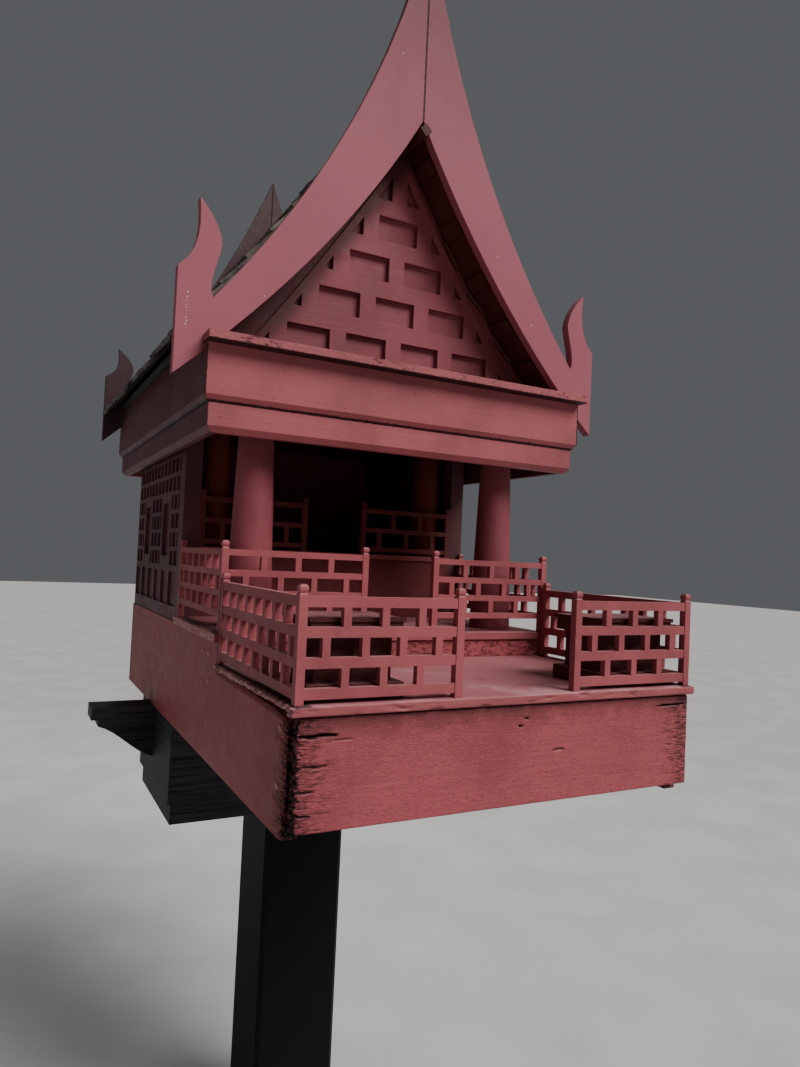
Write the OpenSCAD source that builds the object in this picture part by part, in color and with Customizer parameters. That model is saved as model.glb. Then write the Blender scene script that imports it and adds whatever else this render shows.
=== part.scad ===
// A small wooden shrine house on one post: a stepped floor box with an open terrace,
// a porch and a raised room, low fences, round columns and a steep concave gable roof.
// House coordinates: X to the right, Y from the terrace's front edge to the back,
// Z up from the terrace floor. seat() moves them so that the origin is under the post.

/* [Post and black base] */
// Height of the terrace floor above the foot of the post
terrace_height = 1300; // [900:10:1700]
// Side of the square post
post_side = 210; // [140:5:280]
// Bevel on the post's upright edges
post_bevel = 10; // [4:1:20]
// Distance from the front edge of the terrace back to the post's centre
post_back = 985; // [850:5:1100]
// Thickness of the plate on top of the post
cap_thick = 48; // [30:1:80]
// How far the plate stays inside the beams above it
cap_inset = 8; // [2:1:20]
// Height of the beams under the floor box
beam_height = 183; // [120:1:240]
// Thickness of the beams under the floor box
beam_thick = 80; // [50:2:110]
// How far the beam frame stays inside the floor plates on each side
frame_inset = 12; // [9:1:24]
// Length of the beam frame along the house
frame_length = 380; // [300:5:460]
// How far a carved arm reaches out from the beam frame
arm_reach = 147; // [100:1:220]
// Width of a carved arm
arm_width = 80; // [60:2:110]
// Height of the arm's plain tip
arm_tip_height = 30; // [20:1:50]
// Height of the arm where it meets the beam frame
arm_root_height = 126; // [110:1:175]
// How far the arm's carving starts in from its tip
arm_step_in = 16; // [10:1:30]
// Height of the small step where the carving starts
arm_step_down = 15; // [8:1:24]
// Distance of the carved arms behind the middle of the post
arm_back = 60; // [0:2:80]

/* [Floor box] */
// Width of the floor plates
floor_width = 764; // [740:2:820]
// Length of the floor box
floor_length = 1408; // [1300:2:1520]
// Thickness of the floor plates
plate_thick = 15; // [10:1:22]
// How far the floor plates stand out past the boards under them
plate_lip = 8; // [3:1:14]
// Thickness of the boards round the floor box
board_thick = 25; // [16:1:32]
// Height of the boards under the terrace
box_height = 174; // [130:1:200]
// How much lower the side boards reach than the front board
side_drop = 15; // [0:1:30]
// Depth of the open terrace, front to back
terrace_depth = 420; // [360:5:470]
// Height of the porch floor above the terrace
porch_step = 52; // [40:1:80]
// Thickness of the joists inside the floor box
joist_thick = 40; // [25:1:60]
// Distance of a joist from the middle of the house
joist_offset = 150; // [100:5:220]

/* [Room] */
// Depth of the porch, from the terrace to the front of the room
porch_depth = 365; // [320:5:400]
// Height of the room floor above the porch floor
room_step = 160; // [120:2:200]
// Thickness of the room floor
room_floor_thick = 12; // [8:1:18]
// How far a floor's front edge stands out past its riser
nosing = 5; // [2:1:10]
// Thickness of a riser board
riser_thick = 12; // [8:1:20]
// How far the side walls stand in from the edges of the floor plates
wall_inset = 10; // [9:1:14]
// Thickness of the walls
wall_thick = 18; // [14:1:24]
// Height of the wall tops above the terrace floor
wall_top = 530; // [490:5:560]
// Side of the square posts at the room's front corners
corner_post = 38; // [28:1:48]
// Depth of the recessed wall panels
panel_recess = 6; // [3:1:9]
// Width of the bars between wall panels
panel_bar = 10; // [7:1:14]
// Height of the plain board at the foot of a wall
wall_base = 32; // [20:1:40]
// Height of the tall panels in a wall's lowest band
low_panel_height = 80; // [60:1:90]
// Height of the rail above the lowest band
band_rail = 15; // [10:1:20]
// Number of tall panels in the lowest band of a side wall
low_panels = 6; // [4:1:8]
// Rows of small panels above the lowest band
wall_rows = 8; // [5:1:9]
// Small panels in one row of a side wall
wall_columns = 12; // [8:1:13]
// Panels that each row of the rear wall has more than a row of a side wall
rear_more_panels = 2; // [1:1:3]
// Width of a window's closed shutters
window_width = 80; // [60:1:90]
// Height of a window's closed shutters
window_height = 130; // [100:1:150]
// Width of the plain frame beside a window
window_frame = 18; // [10:1:22]
// Height of the plain board under a window
window_sill = 22; // [14:1:30]
// Height of the plain board over a window
window_header = 28; // [16:1:34]
// Distance of a window's middle from the middle of its wall
window_offset = 128; // [110:1:145]
// Depth of the shutters behind the wall's face
window_recess = 9; // [6:1:12]

/* [Columns] */
// Diameter of a column at the level of the porch floor
column_foot = 94; // [70:1:110]
// Diameter of a column at the level of the wall tops
column_head = 64; // [50:1:80]
// Distance of a column's axis from the edge of the floor plates
column_inset = 91; // [86:1:120]
// Distance from the porch's front edge to the front columns
front_column_gap = 100; // [75:1:130]
// Distance from the room's front to the inner columns
inner_column_gap = 65; // [60:1:110]

/* [Fences] */
// Height of the terrace fence to the top of its rail
fence_height = 148; // [120:1:180]
// Height of the porch fence to the top of its rail
porch_fence_height = 156; // [125:1:180]
// Height of the room's lower fence to the top of its rail
room_fence_height = 116; // [90:1:140]
// Side of a fence post
fence_post = 13; // [12:1:20]
// Height of a rail of the terrace fence
rail_height = 15; // [9:1:18]
// Height of a rail of the porch and room fences
inner_rail_height = 12; // [9:1:16]
// Thickness of rails and uprights
rail_thick = 11; // [8:1:12]
// Width of a fence upright
upright_width = 12; // [7:1:14]
// Gap between the floor and the bottom rail of the terrace and room fences
fence_gap = 7; // [4:1:14]
// Gap between the floor and the bottom rail of the porch fence
porch_fence_gap = 30; // [6:1:40]
// Height of the square knob on a fence post
knob_height = 12; // [8:1:18]
// How far the top of a knob stands in from the post's faces
knob_taper = 2.5; // [1:0.5:4]
// Height of the slope from a post's faces in to its neck
neck_height = 2; // [1:0.5:4]
// Depth of the neck's notch in each face of a post
neck_inset = 2; // [1:0.5:4]
// How far a fence post stands up past its rail
post_rise = 2; // [1:1:4]
// Distance from the edge of the floor plate to a fence post
fence_inset = 8; // [2:1:10]
// Half of the gap in the terrace fence
terrace_gate = 108; // [80:1:140]
// Half of the gap in the porch fence
porch_gate = 76; // [60:1:120]
// Half of the gap in the room fence
room_gate = 73; // [50:1:90]

/* [Gable] */
// Distance from the face of the front bargeboards back to the porch's front edge
gable_lead = 5; // [2:1:20]
// How far the rear bargeboards stand out behind the floor box
gable_overhang = 62; // [40:2:80]
// Thickness of a bargeboard
barge_thick = 20; // [14:1:26]
// Height of the bargeboards' inner peak above the terrace floor
inner_peak_height = 1122; // [1060:2:1180]
// Height of the front bargeboards' outer peak above their inner peak
peak_rise = 430; // [300:5:460]
// Height of the rear bargeboards' outer peak above their inner peak
rear_peak_rise = 308; // [260:2:430]
// How far the front bargeboards' outer edge sags from a straight line
outer_sag = 59; // [20:1:66]
// How far the rear bargeboards' outer edge sags from a straight line
rear_outer_sag = 28; // [15:1:45]
// How far the bargeboards' inner edge sags from a straight line
inner_sag = 33; // [15:1:45]
// How far the tails stand out past the eaves boards
tail_out = 54; // [46:1:70]
// Distance of the tail's lower corner below the eaves boards' top edge
tail_drop = 62; // [52:1:82]
// Height of the tail's shoulder above its lower corner
tail_height = 195; // [180:1:215]
// Distance of the notch from the tail's outer edge
notch_in = 65; // [60:1:72]
// Height of the notch above the tail's lower corner
notch_height = 148; // [140:1:166]
// How far the horn's throat bends in past the notch
throat_in = 12; // [6:1:18]
// Height of the front horn's tip above the tail's shoulder
horn_height = 131; // [110:1:150]
// Height of the rear horn's tip above the tail's shoulder
rear_horn_height = 86; // [70:1:130]
// Side of the square ridge pole
pole_side = 20; // [14:1:26]
// Distance of the ridge pole's axis below the bargeboards' inner peak
pole_drop = 26; // [22:1:36]
// How far the ridge pole stands out in front of the bargeboards
pole_reach = 15; // [5:1:30]

/* [Roof] */
// Height of the roof's ridge above the bargeboards' inner peak
ridge_rise = 156; // [130:2:200]
// How far the eave stands out past the tails
eave_out = 4; // [0:1:14]
// Height of the eave's upper edge above the tail's lower corner
eave_rise = 75; // [68:1:90]
// How far the roof sags from a straight line
roof_sag = 10; // [4:1:16]
// Thickness of the roof covering
roof_thick = 34; // [20:1:36]
// Distance of the soffit above the bargeboards' inner edge
soffit_gap = 7; // [3:1:12]
// Thickness of the soffit boards
soffit_thick = 10; // [6:1:14]
// Width of a purlin and of the batten under it
purlin_width = 34; // [20:1:44]
// Number of purlins on one slope
purlin_count = 5; // [3:1:6]
// Distance of the highest purlin from the middle of the house
purlin_first = 41; // [30:1:60]
// Distance across the house from one purlin to the next
purlin_pitch = 73; // [50:1:80]
// Thickness of a batten under the soffit
batten_thick = 7; // [4:1:10]
// Distance from the bargeboards to the ends of the battens
batten_gap = 10; // [4:1:20]

/* [Pediment] */
// Distance of the pediment's peak below the bargeboards' inner peak
pediment_drop = 27; // [20:1:60]
// Distance of the pediment's foot from the outer face of the side eaves boards
pediment_inset = 83; // [76:1:110]
// How far the pediment's edge sags from a straight line
pediment_sag = 8; // [2:1:14]
// Thickness of the pediment's back board
pediment_back = 12; // [8:1:18]
// Depth of the recessed pediment panels
pediment_recess = 12; // [6:1:16]
// Width of the bars between pediment panels
pediment_bar = 37; // [24:1:44]
// Width of the border along the pediment's sloping edges
pediment_edge = 15; // [10:1:26]
// Height from one pediment bar to the next
pediment_pitch = 90; // [76:1:100]
// Length of one pediment panel with its bar
pediment_cell = 131; // [110:1:150]
// Height of the lowest pediment bar above the tie beams
pediment_rise = 16; // [10:1:40]
// Height of the tie beams on the columns and walls
tie_height = 40; // [30:1:55]
// Thickness of the tie beams
tie_thick = 45; // [30:1:60]

/* [Eaves boards] */
// How far the side eaves boards stand out past the floor plates
eaves_out = 46; // [40:1:58]
// Thickness of the eaves boards
eaves_thick = 20; // [14:1:24]
// Height of the upper board
upper_board = 104; // [80:1:120]
// Height of the lower board
lower_board = 55; // [40:1:70]
// Height of the upper board's top edge above the wall tops
eaves_lift = 47; // [38:1:50]
// How far the lower board is set back from the upper one
eaves_set_back = 10; // [5:1:12]
// Bevel along the lower edge of each eaves board
eaves_bevel = 11; // [4:1:12]
// Thickness of the strip on top of the front board
strip_thick = 16; // [8:1:20]
// How far the strip stands out in front of the board
strip_reach = 28; // [10:1:40]
// How far the strip stands out past the side boards
strip_end = 3; // [1:1:8]

/* [Altar tables] */
// Width of the left altar table
altar_left_width = 152; // [120:2:180]
// Width of the right altar table
altar_right_width = 172; // [120:2:180]
// Depth of an altar table
altar_depth = 122; // [90:2:240]
// Height of an altar table
altar_height = 117; // [80:1:130]
// Height of a table's plinth
altar_plinth = 24; // [16:1:34]
// Height of the block at a table's head, with its top board
altar_head = 28; // [18:1:40]
// Thickness of a table's top board
altar_top_thick = 6; // [4:1:10]
// How far a table's body stands in from its plinth
altar_recess = 15; // [8:1:24]
// How far a table's top board stands out past its block
altar_lip = 3; // [1:1:6]
// Gap between a table and the posts of the side fence
altar_side_gap = 10; // [6:1:30]
// Gap between a table and the posts of the front fence
altar_front_gap = 5; // [4:1:120]

/* [Hidden] */

RED = [0.50, 0.22, 0.22];
DEEP_RED = [0.36, 0.15, 0.15];
BLACK = [0.13, 0.13, 0.14];
WORN = [0.52, 0.36, 0.36];
SHINGLE = [0.33, 0.31, 0.29];

// Clearance round a piece that passes through another
fit = 0.3;
// Overshoot of a cut past the faces it opens
cut = 1;
// Steps along a curved edge
curve_steps = 14;

floor_half = floor_width / 2;
frame_width = floor_width - 2 * frame_inset;
box_half = floor_half - plate_lip;
box_top = -plate_thick;
box_bottom = box_top - box_height;
porch_under = porch_step - plate_thick;
room_front = terrace_depth + porch_depth;
room_level = porch_step + room_step;
room_under = room_level - room_floor_thick;
room_back = floor_length - board_thick;
wall_half = floor_half - wall_inset;
wall_foot = porch_under;
wall_back = floor_length - plate_lip;
low_band_foot = wall_foot + wall_base;
small_band_foot = low_band_foot + low_panel_height + band_rail;
window_foot = small_band_foot + window_sill;
tie_top = wall_top + tie_height;
column_offset = floor_half - column_inset;
front_column_y = terrace_depth + front_column_gap;
inner_column_y = room_front + inner_column_gap;
rear_tie_y = wall_back + plate_lip - tie_thick / 2;
gable_front = terrace_depth - gable_lead;
gable_back = floor_length + gable_overhang;
roof_front = gable_front + barge_thick;
roof_back = gable_back - barge_thick;
eaves_half = floor_half + eaves_out;
eaves_in = eaves_half - eaves_thick;
eaves_front_y = gable_front - eaves_thick;
eaves_back_y = gable_back + eaves_thick;
eaves_top = wall_top + eaves_lift;
eaves_mid = eaves_top - upper_board;
eaves_foot = eaves_mid - lower_board;
tail_reach = eaves_half + tail_out;
tail_foot_height = eaves_top - tail_drop;
tail_shoulder = tail_foot_height + tail_height;
notch = [tail_reach - notch_in, tail_foot_height + notch_height];
peak_height = inner_peak_height + peak_rise;
ridge_height = inner_peak_height + ridge_rise;
pediment_peak = inner_peak_height - pediment_drop;
pediment_half = eaves_half - pediment_inset;
pediment_foot = tie_top + pediment_rise;
terrace_post_x = floor_half - fence_inset;
terrace_fence = [fence_gap, fence_height, rail_height];
porch_fence = [porch_fence_gap, porch_fence_height, inner_rail_height];
low_fence = [fence_gap, room_fence_height, inner_rail_height];
altar_outer = terrace_post_x - fence_post - altar_side_gap;
altar_y = fence_inset + fence_post + altar_front_gap;

// A sagging edge is an arc that hangs below the chord from [0, top] to [reach, foot].
// It is kept as [centre x, centre height, radius].
function sag_arc(top, reach, foot, sag) =
    let (chord = norm([reach, foot - top]),
         along = [reach, foot - top] / chord,
         inward = [along[1], -along[0]],
         radius = (chord * chord / 4 + sag * sag) / (2 * sag),
         middle = [reach / 2, (top + foot) / 2],
         centre = middle + inward * (sag - radius))
    [centre[0], centre[1], radius];

// Height of a sagging edge at x, moved inward by depth square to the edge
function arc_height(arc, x, depth = 0) =
    arc[1] - sqrt(pow(arc[2] + depth, 2) - pow(x - arc[0], 2));

// Points of a sagging edge from x0 to x1
function arc_run(arc, x0, x1, depth = 0) =
    [for (i = [0:curve_steps]) let (x = x0 + (x1 - x0) * i / curve_steps)
        [x, arc_height(arc, x, depth)]];

// Points of a cubic curve after its first point
function bend(p, q, r, s, steps = 6) =
    [for (i = [1:steps]) let (t = i / steps, u = 1 - t)
        u * u * u * p + 3 * u * u * t * q + 3 * u * t * t * r + t * t * t * s];

function backwards(list) = [for (i = [len(list) - 1:-1:0]) list[i]];

function column_radius(z) =
    (column_foot + (column_head - column_foot) * (z - porch_step) / (wall_top - porch_step)) / 2;

barge_outer = sag_arc(peak_height, notch[0], notch[1], outer_sag);
barge_rear_outer = sag_arc(inner_peak_height + rear_peak_rise, notch[0], notch[1],
                           rear_outer_sag);
barge_inner = sag_arc(inner_peak_height, tail_reach, tail_foot_height, inner_sag);
eave_reach = tail_reach + eave_out;
roof_arc = sag_arc(ridge_height, eave_reach, tail_foot_height + eave_rise, roof_sag);
pediment_arc = sag_arc(pediment_peak, pediment_half, pediment_foot, pediment_sag);
pole_height = inner_peak_height - pole_drop;

// Moves house coordinates to the origin under the post
module seat() {
    translate([0, -post_back, terrace_height]) children();
}

module block(x0, x1, y0, y1, z0, z1) {
    translate([x0, y0, z0]) cube([x1 - x0, y1 - y0, z1 - z0]);
}

// An outline in X and Z, standing upright from y0 back by thick
module upright(y0, thick) {
    translate([0, y0 + thick, 0]) rotate([90, 0, 0]) linear_extrude(thick) children();
}

// An outline in Y and Z, standing upright from x0 to the right by thick
module sideways(x0, thick) {
    translate([x0, 0, 0]) rotate([90, 0, 90]) linear_extrude(thick) children();
}

module both_sides() {
    children();
    mirror([1, 0, 0]) children();
}

module post() {
    half = post_side / 2;
    inner = half - post_bevel;
    color(BLACK) seat()
        translate([0, post_back, -terrace_height])
            linear_extrude(terrace_height + box_bottom - beam_height - cap_thick)
                polygon([[inner, -half], [half, -inner], [half, inner], [inner, half],
                         [-inner, half], [-half, inner], [-half, -inner], [-inner, -half]]);
}

module post_cap() {
    top = box_bottom - beam_height;
    half = frame_width / 2 - cap_inset;
    reach = frame_length / 2 - cap_inset;
    color(BLACK) seat()
        block(-half, half, post_back - reach, post_back + reach, top - cap_thick, top);
}

module base_cross_beams() {
    half = frame_width / 2;
    color(BLACK) seat()
        for (end = [-1, 1])
            translate([0, post_back + end * (frame_length - beam_thick) / 2, 0])
                block(-half, half, -beam_thick / 2, beam_thick / 2,
                      box_bottom - beam_height, box_bottom);
}

module base_side_beams() {
    inside = frame_length / 2 - beam_thick;
    color(BLACK) seat() both_sides()
        block(frame_width / 2 - beam_thick, frame_width / 2,
              post_back - inside, post_back + inside, box_bottom - beam_height, box_bottom);
}

// An arm has a plain tip, a small step and a carved hollow that deepens to its root
module bracket_arms() {
    root = frame_width / 2;
    tip = root + arm_reach;
    carve_start = [tip - arm_step_in, box_bottom - arm_tip_height - arm_step_down];
    carve_end = [root, box_bottom - arm_root_height];
    outline = concat(
        [[root, box_bottom], [tip, box_bottom], [tip, box_bottom - arm_tip_height],
         [tip - arm_step_in, box_bottom - arm_tip_height], carve_start],
        bend(carve_start, carve_start - [arm_reach / 3, arm_step_down],
             carve_end + [arm_reach / 3, arm_step_down], carve_end, 8));
    color(BLACK) seat() both_sides()
        upright(post_back + arm_back - arm_width / 2, arm_width) polygon(outline);
}

module side_board() {
    front = plate_lip + board_thick;
    sideways(box_half - board_thick, board_thick)
        polygon([[front, box_bottom], [room_back, box_bottom], [room_back, porch_under],
                 [terrace_depth, porch_under], [terrace_depth, box_top], [front, box_top]]);
}

module side_board_right() {
    color(RED) seat() side_board();
}

module side_board_left() {
    color(RED) seat() mirror([1, 0, 0]) side_board();
}

module front_board() {
    color(RED) seat()
        block(-box_half, box_half, plate_lip, plate_lip + board_thick,
              box_bottom + side_drop, box_top);
}

module rear_board() {
    color(RED) seat()
        block(-box_half, box_half, room_back, floor_length, box_bottom, porch_under);
}

// Two joists run under all the floors, on top of the beams, with their front ends cut up
module joists() {
    front = plate_lip + board_thick;
    color(DEEP_RED) seat() both_sides()
        sideways(joist_offset - joist_thick / 2, joist_thick)
            polygon([[front, box_bottom + side_drop], [front + box_height, box_bottom],
                     [room_back, box_bottom], [room_back, box_top], [front, box_top]]);
}

// Bearers stand on the joists and carry the porch floor and the room floor
module floor_bearers() {
    inner = joist_offset - joist_thick / 2;
    outer = joist_offset + joist_thick / 2;
    color(DEEP_RED) seat() both_sides() {
        block(inner, outer, terrace_depth + plate_thick, room_front, box_top, porch_under);
        block(inner, outer, room_front + riser_thick, wall_back - wall_thick,
              box_top, room_under);
    }
}

module terrace_floor() {
    color(WORN) seat()
        block(-floor_half, floor_half, 0, terrace_depth, -plate_thick, 0);
}

module porch_riser() {
    inside = box_half - board_thick;
    color(RED) seat()
        block(-inside, inside, terrace_depth, terrace_depth + plate_thick, box_top, porch_under);
}

module porch_floor() {
    color(WORN) seat()
        block(-floor_half, floor_half, terrace_depth - nosing, room_front,
              porch_under, porch_step);
}

module room_riser() {
    inside = wall_half - corner_post;
    color(RED) seat()
        block(-inside, inside, room_front, room_front + riser_thick, box_top, room_under);
}

// The room floor is narrower at the front, where it passes between the corner posts
module room_floor() {
    narrow = wall_half - corner_post;
    wide = wall_half - wall_thick;
    back = wall_back - wall_thick;
    widen = room_front + corner_post;
    color(WORN) seat()
        translate([0, 0, room_under]) linear_extrude(room_floor_thick)
            polygon([[-narrow, room_front - nosing], [narrow, room_front - nosing],
                     [narrow, widen], [wide, widen], [wide, back],
                     [-wide, back], [-wide, widen], [-narrow, widen]]);
}

// The outline of a post and its knob, standing in X and Z with the given thickness
module knob_outline(height) {
    half = fence_post / 2;
    slope_foot = height + post_rise;
    neck = slope_foot + neck_height;
    side = [[half, 0], [half, slope_foot], [half - neck_inset, neck],
            [half, neck + knob_height / 3], [half, neck + knob_height * 2 / 3],
            [half - knob_taper, neck + knob_height]];
    upright(-half, fence_post)
        polygon(concat(side, backwards([for (p = side) [-p[0], p[1]]])));
}

// A fence post with a notched neck and a square knob, its outer corner at the origin
module fence_upright(height) {
    translate([fence_post / 2, fence_post / 2, 0]) intersection() {
        knob_outline(height);
        rotate([0, 0, 90]) knob_outline(height);
    }
}

// Rails and uprights between two posts, with the uprights staggered from row to row.
// A fence is given as the gap under it, its height and the height of its rails.
module fence_lattice(span, fence, rows, cells) {
    rail = fence[2];
    pitch = (fence[1] - fence[0] - rail) / rows;
    cell = span / cells;
    for (row = [0:rows])
        translate([0, -rail_thick / 2, fence[0] + row * pitch])
            cube([span, rail_thick, rail]);
    for (row = [0:rows - 1]) {
        whole = row % 2 == (rows - 1) % 2;
        count = whole ? cells - 1 : cells;
        first = whole ? cell : cell / 2;
        for (i = [0:count - 1])
            translate([first + i * cell - upright_width / 2, -rail_thick / 2,
                       fence[0] + row * pitch + rail])
                cube([upright_width, rail_thick, pitch - rail]);
    }
}

// A panel from x0 to x1 whose outer face is at y, with a post at each end
module front_fence(x0, x1, y, z, fence, rows, cells) {
    translate([x0, y, z]) fence_upright(fence[1]);
    translate([x1 - fence_post, y, z]) fence_upright(fence[1]);
    translate([x0 + fence_post, y + fence_post / 2, z])
        fence_lattice(x1 - x0 - 2 * fence_post, fence, rows, cells);
}

// A side panel on the right, from y0 to a post that ends at y1
module side_fence(y0, y1, z, fence, rows, cells) {
    outer = terrace_post_x;
    translate([outer - fence_post, y1 - fence_post, z]) fence_upright(fence[1]);
    translate([outer - fence_post / 2, y0, z]) rotate([0, 0, 90])
        fence_lattice(y1 - fence_post - y0, fence, rows, cells);
}

module terrace_fence_front() {
    front_fence(terrace_gate, terrace_post_x, fence_inset, 0, terrace_fence, 3, 4);
}

module terrace_fence_side() {
    side_fence(fence_inset + fence_post, terrace_depth - nosing - fit, 0, terrace_fence, 3, 8);
}

module porch_fence_front() {
    front_fence(porch_gate, terrace_post_x, terrace_depth, porch_step, porch_fence, 3, 4);
}

module porch_fence_side() {
    side_fence(terrace_depth + fence_post, room_front, porch_step, porch_fence, 3, 6);
}

module room_fence() {
    front_fence(room_gate, wall_half - corner_post, room_front, room_level, low_fence, 2, 3);
}

module terrace_fence_front_right() {
    color(RED) seat() terrace_fence_front();
}

module terrace_fence_front_left() {
    color(RED) seat() mirror([1, 0, 0]) terrace_fence_front();
}

module terrace_fence_side_right() {
    color(RED) seat() terrace_fence_side();
}

module terrace_fence_side_left() {
    color(RED) seat() mirror([1, 0, 0]) terrace_fence_side();
}

module porch_fence_front_right() {
    color(RED) seat() porch_fence_front();
}

module porch_fence_front_left() {
    color(RED) seat() mirror([1, 0, 0]) porch_fence_front();
}

module porch_fence_side_right() {
    color(RED) seat() porch_fence_side();
}

module porch_fence_side_left() {
    color(RED) seat() mirror([1, 0, 0]) porch_fence_side();
}

module room_fence_right() {
    color(RED) seat() room_fence();
}

module room_fence_left() {
    color(RED) seat() mirror([1, 0, 0]) room_fence();
}

module column(y, foot) {
    translate([column_offset, y, foot])
        cylinder(h = wall_top - foot, r1 = column_radius(foot), r2 = column_radius(wall_top),
                 $fn = 48);
}

module front_columns() {
    color(RED) seat() both_sides() column(front_column_y, porch_step);
}

module inner_columns() {
    color(RED) seat() both_sides() column(inner_column_y, room_level);
}

// Recesses in a wall that faces -Y: a band of tall panels, then small ones in running bond
module wall_recesses(length, columns, low_count) {
    low_cell = (length - panel_bar) / low_count;
    for (i = [0:low_count - 1])
        translate([panel_bar + i * low_cell, -cut, low_band_foot])
            cube([low_cell - panel_bar, panel_recess + cut, low_panel_height]);
    row_pitch = (wall_top - small_band_foot - panel_bar) / wall_rows;
    cell = (length - panel_bar) / columns;
    for (row = [0:wall_rows - 1]) {
        shifted = row % 2 == 1;
        count = shifted ? columns + 1 : columns;
        for (i = [0:count - 1]) {
            left = panel_bar + (i - (shifted ? 0.5 : 0)) * cell;
            from = max(left, panel_bar);
            to = min(left + cell - panel_bar, length - panel_bar);
            translate([from, -cut, small_band_foot + row * row_pitch])
                cube([to - from, panel_recess + cut, row_pitch - panel_bar]);
        }
    }
}

// Space of a window with its plain frame, in a wall that faces -Y, from its lower edge up
module window_space(middle, side, above, below, deep) {
    translate([middle - window_width / 2 - side, -cut, window_foot - below])
        cube([window_width + 2 * side, deep + cut, window_height + above + below]);
}

// A side wall with its square corner post at the front and two closed windows
module side_wall() {
    plain = room_front + corner_post;
    length = wall_back - plain;
    difference() {
        union() {
            block(wall_half - wall_thick, wall_half, room_front, wall_back, wall_foot, wall_top);
            block(wall_half - corner_post, wall_half, room_front, plain, wall_foot, wall_top);
        }
        translate([wall_half, plain, 0]) rotate([0, 0, 90]) {
            difference() {
                wall_recesses(length, wall_columns, low_panels);
                for (side = [-1, 1])
                    window_space(length / 2 + side * window_offset, window_frame,
                                 window_header, window_sill, wall_thick);
            }
            for (side = [-1, 1])
                window_space(length / 2 + side * window_offset, 0, 0, 0, window_recess);
        }
    }
}

module wall_right() {
    color(RED) seat() side_wall();
}

module wall_left() {
    color(RED) seat() mirror([1, 0, 0]) side_wall();
}

module wall_rear() {
    half = wall_half - wall_thick;
    color(RED) seat()
        difference() {
            block(-half, half, wall_back - wall_thick, wall_back, wall_foot, wall_top);
            translate([half, wall_back, 0]) rotate([0, 0, 180])
                wall_recesses(2 * half, wall_columns + rear_more_panels,
                              low_panels + rear_more_panels);
        }
}

// Tie beams lie on the front columns, the inner columns and the rear wall
module tie_beams() {
    color(DEEP_RED) seat()
        for (y = [front_column_y, inner_column_y, rear_tie_y])
            block(-eaves_in, eaves_in, y - tie_thick / 2, y + tie_thick / 2,
                  wall_top, tie_top);
}

// The pediment's back board reaches up to the soffit
module pediment_board() {
    polygon(concat(arc_run(barge_inner, 0, eaves_in, -soffit_gap),
                   [[eaves_in, tie_top], [0, tie_top]]));
}

module pediment_bars() {
    rows = floor((pediment_peak - pediment_foot) / pediment_pitch);
    intersection() {
        polygon(concat(arc_run(pediment_arc, 0, pediment_half),
                       [[pediment_half, tie_top], [0, tie_top]]));
        union() {
            translate([0, tie_top])
                square([pediment_half, pediment_foot + pediment_bar - tie_top]);
            for (row = [1:rows])
                translate([0, pediment_foot + row * pediment_pitch])
                    square([pediment_half, pediment_bar]);
            for (row = [0:rows]) {
                first = row % 2 == 0 ? 0 : pediment_cell / 2;
                for (x = [first:pediment_cell:pediment_half])
                    translate([x - pediment_bar / 2, pediment_foot + row * pediment_pitch])
                        square([pediment_bar, pediment_pitch]);
            }
            difference() {
                square([pediment_half, pediment_peak + pediment_bar]);
                polygon(concat(arc_run(pediment_arc, 0, pediment_half, pediment_edge),
                               [[pediment_half, 0], [0, 0]]));
            }
        }
    }
}

// Back board and raised bars of a pediment whose face looks along -Y
module pediment() {
    upright(pediment_recess, pediment_back) both_sides() pediment_board();
    upright(0, pediment_recess) both_sides() pediment_bars();
}

module pediment_front() {
    color(RED) seat()
        difference() {
            translate([0, front_column_y - pediment_recess, 0]) pediment();
            pole_bar(pole_side + 2 * fit);
        }
}

module pediment_rear() {
    color(RED) seat()
        difference() {
            translate([0, rear_tie_y + pediment_recess, 0]) mirror([0, 1, 0]) pediment();
            pole_bar(pole_side + 2 * fit);
        }
}

module pole_bar(side) {
    front = gable_front - pole_reach;
    back = gable_back + pole_reach;
    translate([0, front, pole_height]) rotate([0, 45, 0])
        translate([-side / 2, 0, -side / 2]) cube([side, back - front, side]);
}

module ridge_pole() {
    color(DEEP_RED) seat() pole_bar(pole_side);
}

// One slope's space between two depths from the bargeboards' inner edge
module soffit_band(low, high) {
    polygon(concat(arc_run(barge_inner, 0, eaves_in, low),
                   backwards(arc_run(barge_inner, 0, eaves_in, high))));
}

// Strips as wide as a purlin, square to the slope, at each purlin's place
module purlin_strips() {
    for (i = [0:purlin_count - 1]) {
        x = purlin_first + i * purlin_pitch;
        z = arc_height(barge_inner, x);
        slope = -atan2(barge_inner[0] - x, barge_inner[1] - z);
        translate([x, z]) rotate(slope)
            translate([-purlin_width / 2, -peak_rise / 2]) square([purlin_width, peak_rise]);
    }
}

// Purlins fill the space between the soffit and the roof, and wall plates stand on the eaves
module purlins() {
    top = -soffit_gap - soffit_thick;
    color(DEEP_RED) seat() both_sides()
        upright(roof_front, roof_back - roof_front) {
            intersection() {
                polygon(concat(arc_run(barge_inner, 0, eaves_in, top),
                               backwards(arc_run(roof_arc, 0, eave_reach, roof_thick))));
                purlin_strips();
            }
            intersection() {
                translate([eaves_in, eaves_top]) square([eaves_thick, ridge_rise]);
                polygon(concat([[0, eaves_top]],
                               arc_run(roof_arc, 0, eave_reach, roof_thick),
                               [[eave_reach, eaves_top]]));
            }
        }
}

// Smooth boards that close the roof from below
module soffit() {
    color(DEEP_RED) seat() both_sides()
        upright(roof_front, roof_back - roof_front)
            soffit_band(-soffit_gap, -soffit_gap - soffit_thick);
}

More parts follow.
